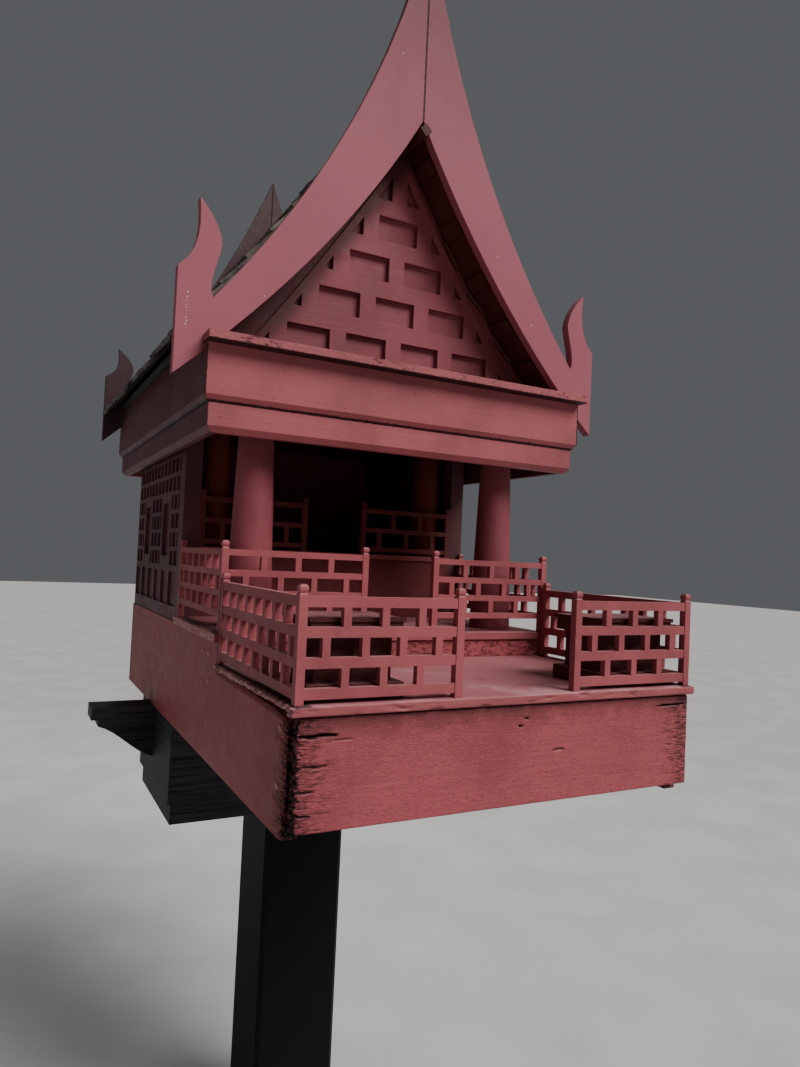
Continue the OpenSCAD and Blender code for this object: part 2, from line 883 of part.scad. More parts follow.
// Battens under the soffit, from each pediment out towards the bargeboards
module soffit_battens() {
    front = roof_front + batten_gap;
    back = rear_tie_y + pediment_recess;
    color(DEEP_RED) seat() both_sides()
        for (run = [[front, front_column_y - pediment_recess], [back, roof_back - batten_gap]])
            upright(run[0], run[1] - run[0])
                intersection() {
                    soffit_band(batten_thick - soffit_gap, -soffit_gap);
                    purlin_strips();
                }
}

// A bargeboard between its two sagging edges, ending in an upright tail with a horn
module barge_outline(outer, horn_rise) {
    shoulder = [tail_reach, tail_shoulder];
    tip = [tail_reach - notch_in / 2, tail_shoulder + horn_rise];
    rise = tip[1] - notch[1];
    throat = [notch[0] - throat_in, notch[1] + rise * 0.56];
    polygon(concat(
        arc_run(outer, 0, notch[0]),
        bend(notch, notch + [throat_in * 1.2, rise * 0.12],
             throat + [throat_in * 0.2, -rise * 0.16], throat),
        bend(throat, throat + [throat_in * 0.2, rise * 0.18],
             tip - [notch_in * 0.25, rise * 0.08], tip),
        bend(tip, tip - [notch_in * 0.09, horn_rise * 0.34],
             shoulder + [-notch_in * 0.6, horn_rise * 0.23], shoulder),
        backwards(arc_run(barge_inner, 0, tail_reach))));
}

module bargeboard_front() {
    upright(gable_front, barge_thick) barge_outline(barge_outer, horn_height);
}

module bargeboard_rear() {
    upright(roof_back, barge_thick) barge_outline(barge_rear_outer, rear_horn_height);
}

module bargeboard_front_right() {
    color(RED) seat() bargeboard_front();
}

module bargeboard_front_left() {
    color(RED) seat() mirror([1, 0, 0]) bargeboard_front();
}

module bargeboard_rear_right() {
    color(RED) seat() bargeboard_rear();
}

module bargeboard_rear_left() {
    color(RED) seat() mirror([1, 0, 0]) bargeboard_rear();
}

// One slope of the roof, a curved shell from the ridge to the eave
module roof_slope() {
    upright(roof_front, roof_back - roof_front)
        polygon(concat(arc_run(roof_arc, 0, eave_reach),
                       backwards(arc_run(roof_arc, 0, eave_reach, roof_thick))));
}

module roof_right() {
    color(SHINGLE) seat() roof_slope();
}

module roof_left() {
    color(SHINGLE) seat() mirror([1, 0, 0]) roof_slope();
}

// Section of the two eaves boards, with the outer face of the upper one at zero
module eaves_section() {
    polygon([[0, eaves_top], [0, eaves_mid + eaves_bevel], [eaves_bevel * 0.7, eaves_mid],
             [eaves_set_back, eaves_mid], [eaves_set_back, eaves_foot + eaves_bevel],
             [eaves_set_back + eaves_bevel * 0.7, eaves_foot],
             [eaves_set_back + eaves_thick, eaves_foot], [eaves_set_back + eaves_thick, eaves_mid],
             [eaves_thick, eaves_mid], [eaves_thick, eaves_top]]);
}

// Eaves boards along a length, mitred at both ends, with their outer face at y zero
module eaves_run(length) {
    deep = eaves_set_back + eaves_thick + cut;
    intersection() {
        translate([-length / 2, 0, 0]) sideways(0, length) eaves_section();
        linear_extrude(peak_height)
            polygon([[-length / 2, 0], [length / 2, 0],
                     [length / 2 - deep, deep], [-length / 2 + deep, deep]]);
    }
}

module eaves_front() {
    color(RED) seat() translate([0, eaves_front_y, 0]) eaves_run(2 * eaves_half);
}

module eaves_rear() {
    color(RED) seat()
        translate([0, eaves_back_y, 0]) rotate([0, 0, 180]) eaves_run(2 * eaves_half);
}

// A side run is notched at both ends, where the bargeboards pass over it
module eaves_side() {
    middle = (eaves_front_y + eaves_back_y) / 2;
    length = eaves_back_y - eaves_front_y;
    low = arc_height(barge_inner, eaves_half) - fit;
    difference() {
        translate([eaves_half, middle, 0]) rotate([0, 0, 90]) eaves_run(length);
        for (y = [gable_front - fit, roof_back - fit])
            block(eaves_half - 2 * eaves_thick, eaves_half + cut,
                  y, y + barge_thick + 2 * fit, low, eaves_top + cut);
    }
}

module eaves_right() {
    color(RED) seat() eaves_side();
}

module eaves_left() {
    color(RED) seat() mirror([1, 0, 0]) eaves_side();
}

module cornice_strips() {
    half = eaves_half + strip_end;
    color(RED) seat() {
        block(-half, half, eaves_front_y - strip_reach, gable_front,
              eaves_top, eaves_top + strip_thick);
        block(-half, half, gable_back, eaves_back_y + strip_reach,
              eaves_top, eaves_top + strip_thick);
    }
}

// A low table: plinth, recessed body, and a block under the top board
module altar(x0, y0, width) {
    head_foot = altar_height - altar_head;
    top_foot = altar_height - altar_top_thick;
    translate([x0, y0, 0]) {
        cube([width, altar_depth, altar_plinth]);
        translate([altar_recess, altar_recess, altar_plinth])
            cube([width - 2 * altar_recess, altar_depth - 2 * altar_recess,
                  head_foot - altar_plinth]);
        translate([altar_lip, altar_lip, head_foot])
            cube([width - 2 * altar_lip, altar_depth - 2 * altar_lip, top_foot - head_foot]);
        translate([0, 0, top_foot])
            cube([width, altar_depth, altar_top_thick]);
    }
}

module altar_left() {
    color(RED) seat() altar(-altar_outer, altar_y, altar_left_width);
}

module altar_right() {
    color(RED) seat() altar(altar_outer - altar_right_width, altar_y, altar_right_width);
}

post();
post_cap();
base_cross_beams();
base_side_beams();
bracket_arms();
side_board_left();
side_board_right();
front_board();
rear_board();
joists();
floor_bearers();
terrace_floor();
porch_riser();
porch_floor();
room_riser();
room_floor();
terrace_fence_front_left();
terrace_fence_front_right();
terrace_fence_side_left();
terrace_fence_side_right();
porch_fence_front_left();
porch_fence_front_right();
porch_fence_side_left();
porch_fence_side_right();
room_fence_left();
room_fence_right();
front_columns();
inner_columns();
wall_left();
wall_right();
wall_rear();
tie_beams();
pediment_front();
pediment_rear();
purlins();
ridge_pole();
soffit();
soffit_battens();
bargeboard_front_left();
bargeboard_front_right();
bargeboard_rear_left();
bargeboard_rear_right();
roof_left();
roof_right();
eaves_front();
eaves_rear();
eaves_left();
eaves_right();
cornice_strips();
altar_left();
altar_right();
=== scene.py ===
"""Dresses a small wooden shrine house on one post: finishes, roof shingles and signs of age.

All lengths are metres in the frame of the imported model, with the origin under the post and Z up.
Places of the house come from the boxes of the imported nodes, so that each piece follows them.
"""

import logging
import math
import random
from dataclasses import dataclass, field
from enum import Enum
from typing import Any, Callable, ClassVar, Sequence

import bmesh
import bpy
from mathutils import Matrix, Vector, noise


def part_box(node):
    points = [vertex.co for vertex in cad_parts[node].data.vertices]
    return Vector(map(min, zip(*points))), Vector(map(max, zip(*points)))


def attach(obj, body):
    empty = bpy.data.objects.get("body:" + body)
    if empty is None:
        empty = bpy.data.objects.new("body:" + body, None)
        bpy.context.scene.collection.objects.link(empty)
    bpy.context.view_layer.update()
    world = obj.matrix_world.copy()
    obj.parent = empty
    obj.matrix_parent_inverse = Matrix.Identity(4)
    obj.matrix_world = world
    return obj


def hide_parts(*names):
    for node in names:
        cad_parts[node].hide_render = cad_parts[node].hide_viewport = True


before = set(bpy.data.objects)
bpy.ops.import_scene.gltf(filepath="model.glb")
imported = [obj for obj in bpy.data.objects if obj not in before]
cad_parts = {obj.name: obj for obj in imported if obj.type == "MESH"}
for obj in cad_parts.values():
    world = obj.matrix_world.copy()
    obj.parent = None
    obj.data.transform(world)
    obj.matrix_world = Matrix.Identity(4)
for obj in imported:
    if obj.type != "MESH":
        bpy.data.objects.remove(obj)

LOG = logging.getLogger("shrine_house")
BODY = "root"
MM = 0.001
# Values that the geometry carries for the finishes: how worn a point is, and a shingle's tone
HOLLOW = "hollow"
TONE = "tone"
# Wear from which a hollow is as dark as it gets; the darkening paints shade in the hollows along
# with dirt
DEEP_HOLLOW = 6 * MM
# A face looks to the front where its outward Y is below this
TO_FRONT = -0.3
# The camera's place, in millimetres right of the middle, behind the front and over the floor
EYE = (-734.1, -955.7, 204.3)

Colour = tuple[float, float, float]
Socket = bpy.types.NodeSocket


def paint_colour(red: int, green: int, blue: int) -> Colour:
    """Turns a colour card value from 0 to 255 into the linear colour that shaders use."""
    return tuple(((c / 255 + 0.055) / 1.055) ** 2.4 for c in (red, green, blue))


def shaded(colour: Colour, factor: float, lift: float = 0.0) -> Colour:
    """Makes a colour darker or lighter by a factor and a small lift, up to white."""
    return tuple(min(1.0, c * factor + lift) for c in colour)


ROSE_RED = paint_colour(152, 73, 79)
FENCE_RED = paint_colour(152, 77, 83)
# The eaves and gable reds are pinker and bluer than the other reds: painted reflection of the sky
# on the paint
EAVES_RED = paint_colour(155, 81, 87)
GABLE_RED = paint_colour(151, 84, 95)
SHADED_RED = paint_colour(134, 66, 74)
# Darker red of the side walls and side eaves boards: painted shade on the house's sides
SIDE_SHADE_RED = paint_colour(94, 54, 60)
# Dark red of the rear bargeboards: weathered paint, with painted shade on the rear gable
REAR_SHADE_AND_WEATHER_RED = paint_colour(70, 46, 50)
DEEP_RED = paint_colour(86, 38, 41)
# Darker red of the room's fences and riser: painted shade under the roof
ROOM_SHADE_RED = paint_colour(104, 46, 47)
# Darker, warmer red of the inner columns: painted warm shade inside the room
WARM_SHADE_RED = paint_colour(124, 52, 40)
RUST_RED = paint_colour(82, 40, 33)
HEAD_PINK = paint_colour(170, 112, 104)
DUSTY_PINK = paint_colour(178, 126, 128)
DECK_PINK = paint_colour(178, 118, 127)
# Dark colour of dirt, rot, cracks and joints, and also of painted shade
DIRT_AND_SHADE_DARK = paint_colour(26, 14, 14)
PALE_PRIMER = paint_colour(190, 132, 128)
# Pale chalky paint of chips, lightened as a painted highlight
CHALK_AND_HIGHLIGHT_PINK = paint_colour(208, 158, 156)
BROWN_WOOD = paint_colour(96, 60, 44)
GREY_WOOD = paint_colour(112, 104, 97)
DARK_GREY_WOOD = paint_colour(46, 42, 41)
LICHEN_GREY = paint_colour(150, 146, 128)
CHARCOAL = paint_colour(54, 52, 57)
SOOT_BLACK = paint_colour(14, 14, 17)
CHALK_WHITE = paint_colour(206, 190, 188)
FLOOR_GREY = paint_colour(192, 191, 189)


class Grain(Enum):
    """Turn about Y, in degrees, and the axis along which the wood's fibres then run."""

    ACROSS = (0.0, 0)
    DEEP = (0.0, 1)
    UPRIGHT = (0.0, 2)
    SLOPE_RIGHT = (58.0, 0)
    SLOPE_LEFT = (-58.0, 0)


@dataclass(frozen=True)
class Clouds:
    """Size and roughness of a cloudy pattern.

    Attributes:
        scale: How many clouds there are to the metre, or to the metre across the fibres.
        detail: How many finer layers are added.
        roughness: Strength of the finer layers.
        along: How many there are to the metre along the fibres, or 0 for round clouds.
        swirl: How much they swirl.
    """

    scale: float
    detail: float = 3.0
    roughness: float = 0.5
    along: float = 0.0
    swirl: float = 0.0


PAINT_TONES = Clouds(5.0)
PAINT_BLOTCHES = Clouds(34.0, 4.0, 0.6)
PAINT_PEBBLES = Clouds(420.0, 3.0, 0.6, along=150.0)
PAINT_FIBRES = Clouds(150.0, 5.0, 0.62, along=7.0)
BRUSH_MARKS = Clouds(420.0, 2.0, along=12.0)
CRACK_LINES = Clouds(135.0, 2.0, 0.6, along=17.0)
FINE_CRACK_LINES = Clouds(260.0, 2.0, 0.6, along=34.0)
CRACK_BREAKS = Clouds(90.0, 3.0, 0.6, along=30.0)
CRACKED_PATCHES = Clouds(13.0, 4.0, 0.7)
CHIPPED_EDGES = Clouds(95.0, 5.0, 0.7)
GRIMY_EDGES = Clouds(60.0, 4.0, 0.65)
JOINT_WANDER = Clouds(110.0, 4.0, 0.7)
ROT_RIM = Clouds(160.0, 5.0, 0.7, along=50.0)
DECK_FIBRES = Clouds(130.0, 5.0, 0.65, along=9.0)
DECK_GRIT = Clouds(320.0, 3.0, 0.7)
DECK_STAINS = Clouds(26.0, 6.0, 0.7)
TRODDEN_PATCHES = Clouds(8.0, 5.0, 0.62)
CHIPPED_LIP = Clouds(70.0, 5.0, 0.7)
CHALK_AND_HIGHLIGHT_FLECKS = Clouds(260.0, 4.0, 0.75)
TIMBER_FIBRES = Clouds(120.0, 6.0, 0.7, along=5.0, swirl=0.6)
TIMBER_TONES = Clouds(9.0, 4.0)
SHINGLE_FIBRES = Clouds(26.0, 6.0, 0.7, along=190.0)
LICHEN_SPOTS = Clouds(48.0, 5.0, 0.7)


@dataclass(frozen=True)
class House:
    """Places of the house's main planes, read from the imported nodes.

    Attributes:
        front: Y of the terrace plate's front edge.
        terrace: Z of the terrace floor.
        half: Half of the floor plates' width.
    """

    front: float
    terrace: float
    half: float

    @classmethod
    def read(cls) -> "House":
        """Reads the places from the terrace floor's box."""
        low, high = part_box("terrace_floor")
        return cls(front=low.y, terrace=high.z, half=high.x)

    def place(self, x: float, y: float, z: float) -> Vector:
        """Gives a point by millimetres right of the middle, behind the front and over the floor."""
        return Vector((x * MM, self.front + y * MM, self.terrace + z * MM))

    def on_face(self, x: float, z: float, face: float) -> Vector:
        """Gives a point by millimetres right and up, on an upright face at the given Y."""
        return Vector((x * MM, face, self.terrace + z * MM))


class Graph:
    """Builds one material's nodes around its Principled shader."""

    def __init__(self, name: str) -> None:
        """Starts a material.

        Args:
            name: The material's name.
        """
        self.material = bpy.data.materials.new(name)
        self.material.use_nodes = True
        self.tree = self.material.node_tree
        self.shader = self.tree.nodes["Principled BSDF"]
        self.place = self.add("ShaderNodeTexCoord").outputs["Object"]

    def add(self, kind: str, inputs: dict[Any, Any] | None = None, **settings: Any) -> Any:
        """Adds a node.

        Args:
            kind: The node's type name.
            inputs: Values or sockets for its inputs, by name or number.
            **settings: The node's own properties.

        Returns:
            The new node.
        """
        node = self.tree.nodes.new(kind)
        for key, value in settings.items():
            setattr(node, key, value)
        for key, value in (inputs or {}).items():
            self.feed(node.inputs[key], value)
        return node

    def feed(self, socket: Socket, value: Any) -> None:
        """Links an input to a socket, or sets its constant value.

        Args:
            socket: The input.
            value: A socket, a colour, a vector or a number.
        """
        if isinstance(value, Socket):
            self.tree.links.new(value, socket)
        elif isinstance(value, tuple) and socket.type == "RGBA":
            socket.default_value = (*value, 1.0)
        else:
            socket.default_value = value

    def clouds(self, pattern: Clouds, grain: Grain = Grain.ACROSS, finer: float = 1.0) -> Socket:
        """Gives a cloudy value around 0.5.

        Args:
            pattern: The clouds' size and roughness.
            grain: The way the fibres run, for clouds that are stretched along them.
            finer: How much finer stretched clouds are than the pattern.

        Returns:
            The value's socket.
        """
        where, scale = self.place, pattern.scale
        if pattern.along:
            where, scale = self.stretch(grain, pattern.scale * finer, pattern.along * finer), 1.0
        return self.add("ShaderNodeTexNoise", {
            "Vector": where, "Scale": scale, "Detail": pattern.detail,
            "Roughness": pattern.roughness, "Distortion": pattern.swirl}).outputs["Fac"]

    def stretch(self, grain: Grain, across: float, along: float) -> Socket:
        """Gives coordinates that are stretched along the wood's fibres.

        Args:
            grain: The way the fibres run.
            across: Scale across them.
            along: Scale along them.

        Returns:
            The coordinates' socket.
        """
        turn, axis = grain.value
        scale = [across, across, across]
        scale[axis] = along
        turned = self.add("ShaderNodeMapping", {
            "Vector": self.place, "Rotation": (0.0, math.radians(turn), 0.0)})
        return self.add("ShaderNodeMapping", {
            "Vector": turned.outputs[0], "Scale": tuple(scale)}).outputs[0]

    def axis(self, name: str | int) -> Socket:
        """Gives the place's X, Y or Z."""
        return self.add("ShaderNodeSeparateXYZ", {0: self.place}).outputs[name]

    def layer(self, name: str) -> Socket:
        """Gives the value that the geometry carries under that name."""
        return self.add("ShaderNodeAttribute", attribute_name=name).outputs["Fac"]

    def work_out(self, operation: str, first: Any, second: Any = 0.0) -> Socket:
        """Gives the result of one arithmetic operation on two values."""
        return self.add("ShaderNodeMath", {0: first, 1: second}, operation=operation).outputs[0]

    def times(self, first: Any, second: Any) -> Socket:
        """Gives the product of two values."""
        return self.work_out("MULTIPLY", first, second)

    def plus(self, first: Any, second: Any) -> Socket:
        """Gives the sum of two values."""
        return self.work_out("ADD", first, second)

    def minus(self, first: Any, second: Any) -> Socket:
        """Gives the difference of two values."""
        return self.work_out("SUBTRACT", first, second)

    def larger(self, first: Any, second: Any) -> Socket:
        """Gives the larger of two values."""
        return self.work_out("MAXIMUM", first, second)

    def distance(self, first: Any, second: Any) -> Socket:
        """Gives how far two values are apart."""
        return self.work_out("ABSOLUTE", self.minus(first, second))

    def pile(self, layers: Sequence[tuple[Socket, float]]) -> Socket:
        """Adds up values, each times its share.

        Args:
            layers: The values with their shares.

        Returns:
            The sum's socket.
        """
        total: Any = 0.0
        for value, share in layers:
            total = self.plus(total, self.times(value, share))
        return total

    def fade(self, value: Socket, low: float, high: float,
             start: float = 0.0, end: float = 1.0) -> Socket:
        """Turns a value between two limits smoothly into one between two others.

        Args:
            value: The value.
            low: The value that becomes start.
            high: The value that becomes end.
            start: Result at low and beyond.
            end: Result at high and beyond.

        Returns:
            The result's socket.
        """
        return self.add("ShaderNodeMapRange", {
            "Value": value, "From Min": low, "From Max": high, "To Min": start,
            "To Max": end}, interpolation_type="SMOOTHSTEP").outputs[0]

    def blend(self, share: Any, first: Any, second: Any) -> Socket:
        """Mixes two colours.

        Args:
            share: How much of the second colour shows, from 0 to 1.
            first: The colour underneath.
            second: The colour on top.

        Returns:
            The mixed colour's socket.
        """
        return self.add("ShaderNodeMix", {0: share, 6: first, 7: second},
                        data_type="RGBA").outputs[2]

    def tint(self, colour: Any, other: Any, mask: Socket, share: Any = 1.0) -> Socket:
        """Mixes another colour in, by a mask times a share."""
        return self.blend(self.times(mask, share), colour, other)

    def facing(self, axis: str) -> Socket:
        """Gives how far a face looks along X, Y or Z, from -1 to 1."""
        normal = self.add("ShaderNodeNewGeometry").outputs["Normal"]
        return self.add("ShaderNodeSeparateXYZ", {0: normal}).outputs[axis]

    def facing_up(self) -> Socket:
        """Gives 0 on upright and hanging faces and 1 on level ones."""
        return self.fade(self.facing("Z"), 0.25, 0.95)

    def soft_edges(self, radius: float) -> tuple[Socket, Socket]:
        """Rounds sharp edges in the shading.

        Args:
            radius: The rounding's radius in metres.

        Returns:
            The rounded normal, and a mask that is 1 on the edges.
        """
        rounded = self.add("ShaderNodeBevel", {"Radius": radius}, samples=6).outputs[0]
        flat = self.add("ShaderNodeNewGeometry").outputs["Normal"]
        dot = self.add("ShaderNodeVectorMath", {0: rounded, 1: flat},
                       operation="DOT_PRODUCT").outputs["Value"]
        return rounded, self.fade(dot, 0.985, 0.8)

    def hairlines(self, waves: Socket, width: float) -> Socket:
        """Gives 1 along the thin wavering lines on which a cloudy value is halfway."""
        return self.fade(self.distance(waves, 0.5), width, width * 0.2)

    def bump(self, height: Socket, depth: float, normal: Socket | None = None) -> Socket:
        """Gives a normal that follows a height.

        Args:
            height: The height, from 0 to 1.
            depth: Depth of the relief in metres.
            normal: The normal that it starts from, or nothing for the face's own.

        Returns:
            The normal's socket.
        """
        inputs: dict[Any, Any] = {"Height": height, "Distance": depth, "Strength": 1.0}
        if normal is not None:
            inputs["Normal"] = normal
        return self.add("ShaderNodeBump", inputs).outputs[0]

    def finish(self, colour: Socket, roughness: Any, normal: Socket) -> bpy.types.Material:
        """Feeds the shader.

        Args:
            colour: The surface's colour.
            roughness: Its roughness, as a socket or a number.
            normal: Its normal.

        Returns:
            The finished material.
        """
        self.feed(self.shader.inputs["Base Color"], colour)
        self.feed(self.shader.inputs["Roughness"], roughness)
        self.feed(self.shader.inputs["Normal"], normal)
        return self.material


@dataclass(frozen=True)
class Seam:
    """An upright or level joint between two boards.

    Attributes:
        place: Its X, or its Z if it is level.
        top: Z above which an upright joint doesn't show.
        shade: How dark it is, from 0 to 1.
        width: Half of its width.
        level: Whether it is level.
    """

    place: float
    top: float
    shade: float = 0.3
    width: float = 1.4 * MM
    level: bool = False

    def line(self, graph: Graph) -> Socket:
        """Gives 1 on the joint and 0 elsewhere.

        Args:
            graph: The material's nodes.

        Returns:
            The mask's socket.
        """
        distance = graph.distance(graph.axis("Z" if self.level else "X"), self.place)
        wander = graph.times(graph.clouds(JOINT_WANDER), 3.0 * self.width)
        line = graph.fade(graph.minus(distance, wander), 0.0, -0.8 * self.width)
        if self.level:
            return line
        return graph.times(line, graph.fade(graph.axis("Z"), self.top, self.top - 4 * MM))


@dataclass(frozen=True)
class PaintedWood:
    """Red paint on boards: brush marks, faint grain, hairline cracks, dust, worn edges and painted
    shade.

    Attributes:
        name: The material's name.
        colour: The paint's colour.
        grain: The way the fibres run.
        relief: How strongly the grain shows through the paint.
        cracks: How much of the surface has cracked; 0 is little and 1.4 is nearly all.
        dust: How much dust lies on level faces.
        wear: How much of the edges has lost its paint.
        gloss: The paint's roughness; lower is glossier.
        sheen: Strength of its highlights.
        cloud: How much its tone varies over a board.
        pebble: How coarse its surface is.
        seams: Joints between two boards.
        brittle: Places along the fibres near which the paint has cracked most.
        brittle_reach: Distance to which the cracks of a brittle place reach.
        rotten: Places along the fibres at which the board's end has rotted.
        stain_and_shade: Z from which the paint darkens downwards, or 0 for none: painted shade
            under the eaves and on a gable's top, and painted shade with stains under the terrace
            plate.
        stain_and_shade_reach: How far down it hangs.
        fineness: How fine the cracks are.
        peak: Z of the peak of a gable board that has painted shade along its left rim, or 0 for
            none.
        slope: Fall of the rim for each metre from the middle.
        rim: How far below the rim the painted shade starts.
        edge: Radius of the rounded edges.
    """

    name: str
    colour: Colour = ROSE_RED
    grain: Grain = Grain.ACROSS
    relief: float = 0.4
    cracks: float = 0.1
    dust: float = 0.4
    wear: float = 0.3
    gloss: float = 0.54
    sheen: float = 0.2
    cloud: float = 1.0
    pebble: float = 0.2
    seams: tuple[Seam, ...] = ()
    brittle: tuple[float, ...] = ()
    brittle_reach: float = 150 * MM
    rotten: tuple[float, ...] = ()
    stain_and_shade: float = 0.0
    stain_and_shade_reach: float = 42 * MM
    fineness: float = 1.0
    peak: float = 0.0
    slope: float = 1.475
    rim: float = 95 * MM
    edge: float = 1.6 * MM

    def build(self) -> bpy.types.Material:
        """Makes the material.

        Returns:
            The material.
        """
        graph = Graph(self.name)
        fibres = graph.clouds(PAINT_FIBRES, self.grain)
        brushed = graph.clouds(BRUSH_MARKS, self.grain)
        pebbles = graph.clouds(PAINT_PEBBLES, self.grain)
        blotches = graph.clouds(PAINT_BLOTCHES)
        normal, edges = graph.soft_edges(self.edge)
        crazed = self.crazing(graph)
        dusty = graph.times(graph.facing_up(), graph.fade(blotches, 0.3, 0.6, 0.3, 1.0))

        colour = self.fresh_paint(graph, fibres, pebbles, blotches)
        colour = graph.tint(colour, DIRT_AND_SHADE_DARK, crazed, 0.85)
        colour = self.shaded_and_stained(graph, colour, blotches)
        colour = graph.tint(colour, DUSTY_PINK, dusty, self.dust)
        colour = self.worn_edges(graph, colour, edges)
        # Darker the deeper the wear: dirt and painted shade in cracks, gaps and hollows
        colour = graph.blend(graph.fade(graph.layer(HOLLOW), 0.12, 0.85), colour, DIRT_AND_SHADE_DARK)

        layers = [(fibres, self.relief), (brushed, 0.16), (blotches, 0.3 * self.cloud),
                  (crazed, -1.1), (pebbles, 1.4 * self.pebble)]
        for seam in self.seams:
            line = seam.line(graph)
            layers.append((line, -0.8))
            colour = graph.tint(colour, DIRT_AND_SHADE_DARK, line, seam.shade)
        for end in self.rotten:
            rot = self.rot(graph, end)
            layers.append((rot, -2.5))
            colour = graph.blend(rot, colour, DIRT_AND_SHADE_DARK)
        graph.shader.inputs["Specular IOR Level"].default_value = self.sheen
        roughness = graph.fade(blotches, 0.3, 0.75, self.gloss - 0.05 * self.cloud,
                               self.gloss + 0.14 * self.cloud)
        roughness = graph.plus(roughness, graph.times(dusty, 0.22))
        return graph.finish(colour, roughness, graph.bump(graph.pile(layers), 1.0 * MM, normal))

    def fresh_paint(self, graph: Graph, fibres: Socket, pebbles: Socket,
                    blotches: Socket) -> Socket:
        """Gives the paint's colour with its clouds, pits and brush marks.

        Args:
            graph: The material's nodes.
            fibres: The grain under the paint.
            pebbles: The paint's coarseness.
            blotches: Its uneven tone.

        Returns:
            The colour's socket.
        """
        darker, lighter = shaded(self.colour, 0.74), shaded(self.colour, 1.16, 0.006)
        tones = graph.fade(graph.clouds(PAINT_TONES), 0.32, 0.6, 1.0 - self.cloud)
        colour = graph.blend(tones, darker, self.colour)
        pitted, raised = min(1.0, 1.6 * self.pebble), min(1.0, 1.4 * self.pebble)
        for value, low, high, share, tone in (
                (blotches, 0.45, 0.8, 0.4 * self.cloud, lighter),
                (pebbles, 0.46, 0.34, pitted, darker),
                (pebbles, 0.56, 0.68, raised, lighter),
                (fibres, 0.5, 0.3, 0.5 * self.relief, darker)):
            colour = graph.blend(graph.fade(value, low, high, 0.0, share), colour, tone)
        return colour

    def shaded_and_stained(self, graph: Graph, colour: Socket, blotches: Socket) -> Socket:
        """Adds the darkening that hangs down, which is painted shade with some stains, and the
        painted shade along a gable's left rim.

        Args:
            graph: The material's nodes.
            colour: The colour so far.
            blotches: A value that makes the darkening's edge ragged.

        Returns:
            The colour's socket.
        """
        # Darker from a height downwards: painted shade under overhangs and on a gable's top, with
        # stains under the terrace plate
        if self.stain_and_shade:
            ragged = graph.times(graph.minus(blotches, 0.5), 60 * MM)
            hang = graph.fade(graph.plus(graph.axis("Z"), ragged),
                              self.stain_and_shade - self.stain_and_shade_reach, self.stain_and_shade)
            colour = graph.tint(colour, DIRT_AND_SHADE_DARK, hang, 0.5)
        # Painted shade along a gable's left rim, beside the bargeboard
        if self.peak:
            over = graph.plus(graph.axis("Z"), graph.times(graph.axis("X"), -self.slope))
            rim = graph.fade(over, self.peak - self.rim, self.peak - 0.25 * self.rim)
            colour = graph.tint(colour, DIRT_AND_SHADE_DARK, rim, 0.62)
        return colour

    def worn_edges(self, graph: Graph, colour: Socket, edges: Socket) -> Socket:
        """Chips the paint off the edges and puts grime beside the chips.

        Args:
            graph: The material's nodes.
            colour: The colour so far.
            edges: A mask that is 1 on the edges.

        Returns:
            The colour's socket.
        """
        chips = graph.fade(graph.clouds(CHIPPED_EDGES), 0.66 - 0.22 * self.wear,
                           0.72 - 0.2 * self.wear)
        colour = graph.tint(colour, PALE_PRIMER, graph.times(edges, chips), 0.5)
        darkening = graph.fade(graph.clouds(GRIMY_EDGES), 0.56, 0.68)
        return graph.tint(colour, DIRT_AND_SHADE_DARK, graph.times(edges, darkening), 0.6)

    def distance_from(self, graph: Graph, spot: float) -> Socket:
        """Gives the distance along the fibres from a place of the board."""
        return graph.distance(graph.axis(self.grain.value[1]), spot)

    def rot(self, graph: Graph, end: float) -> Socket:
        """Gives 1 where the wood at a board's end has rotted and 0 elsewhere.

        Args:
            graph: The material's nodes.
            end: The end's place along the fibres.

        Returns:
            The mask's socket.
        """
        reach = graph.fade(graph.clouds(ROT_RIM, self.grain), 0.46, 0.68, 1.0 * MM, 9 * MM)
        past = graph.minus(self.distance_from(graph, end), reach)
        return graph.fade(past, 0.6 * MM, -0.6 * MM)

    def crazing(self, graph: Graph) -> Socket:
        """Gives 1 in the short cracks that follow the fibres and 0 elsewhere.

        Args:
            graph: The material's nodes.

        Returns:
            The mask's socket.
        """
        lines, finer, breaks = (graph.clouds(pattern, self.grain, self.fineness)
                                for pattern in (CRACK_LINES, FINE_CRACK_LINES, CRACK_BREAKS))
        lines = graph.larger(graph.hairlines(lines, 0.034),
                             graph.times(graph.hairlines(finer, 0.04), 0.7))
        breaks = graph.fade(breaks, 0.46, 0.56)
        patches = graph.fade(graph.clouds(CRACKED_PATCHES), 0.72 - 0.3 * self.cracks,
                             0.84 - 0.3 * self.cracks)
        reach = self.brittle_reach
        for spot in self.brittle:
            distance = self.distance_from(graph, spot)
            patches = graph.larger(patches, graph.fade(distance, reach, reach * 0.3))
            breaks = graph.larger(breaks, graph.fade(distance, reach * 0.6, reach * 0.2))
        return graph.times(graph.times(lines, breaks), patches)


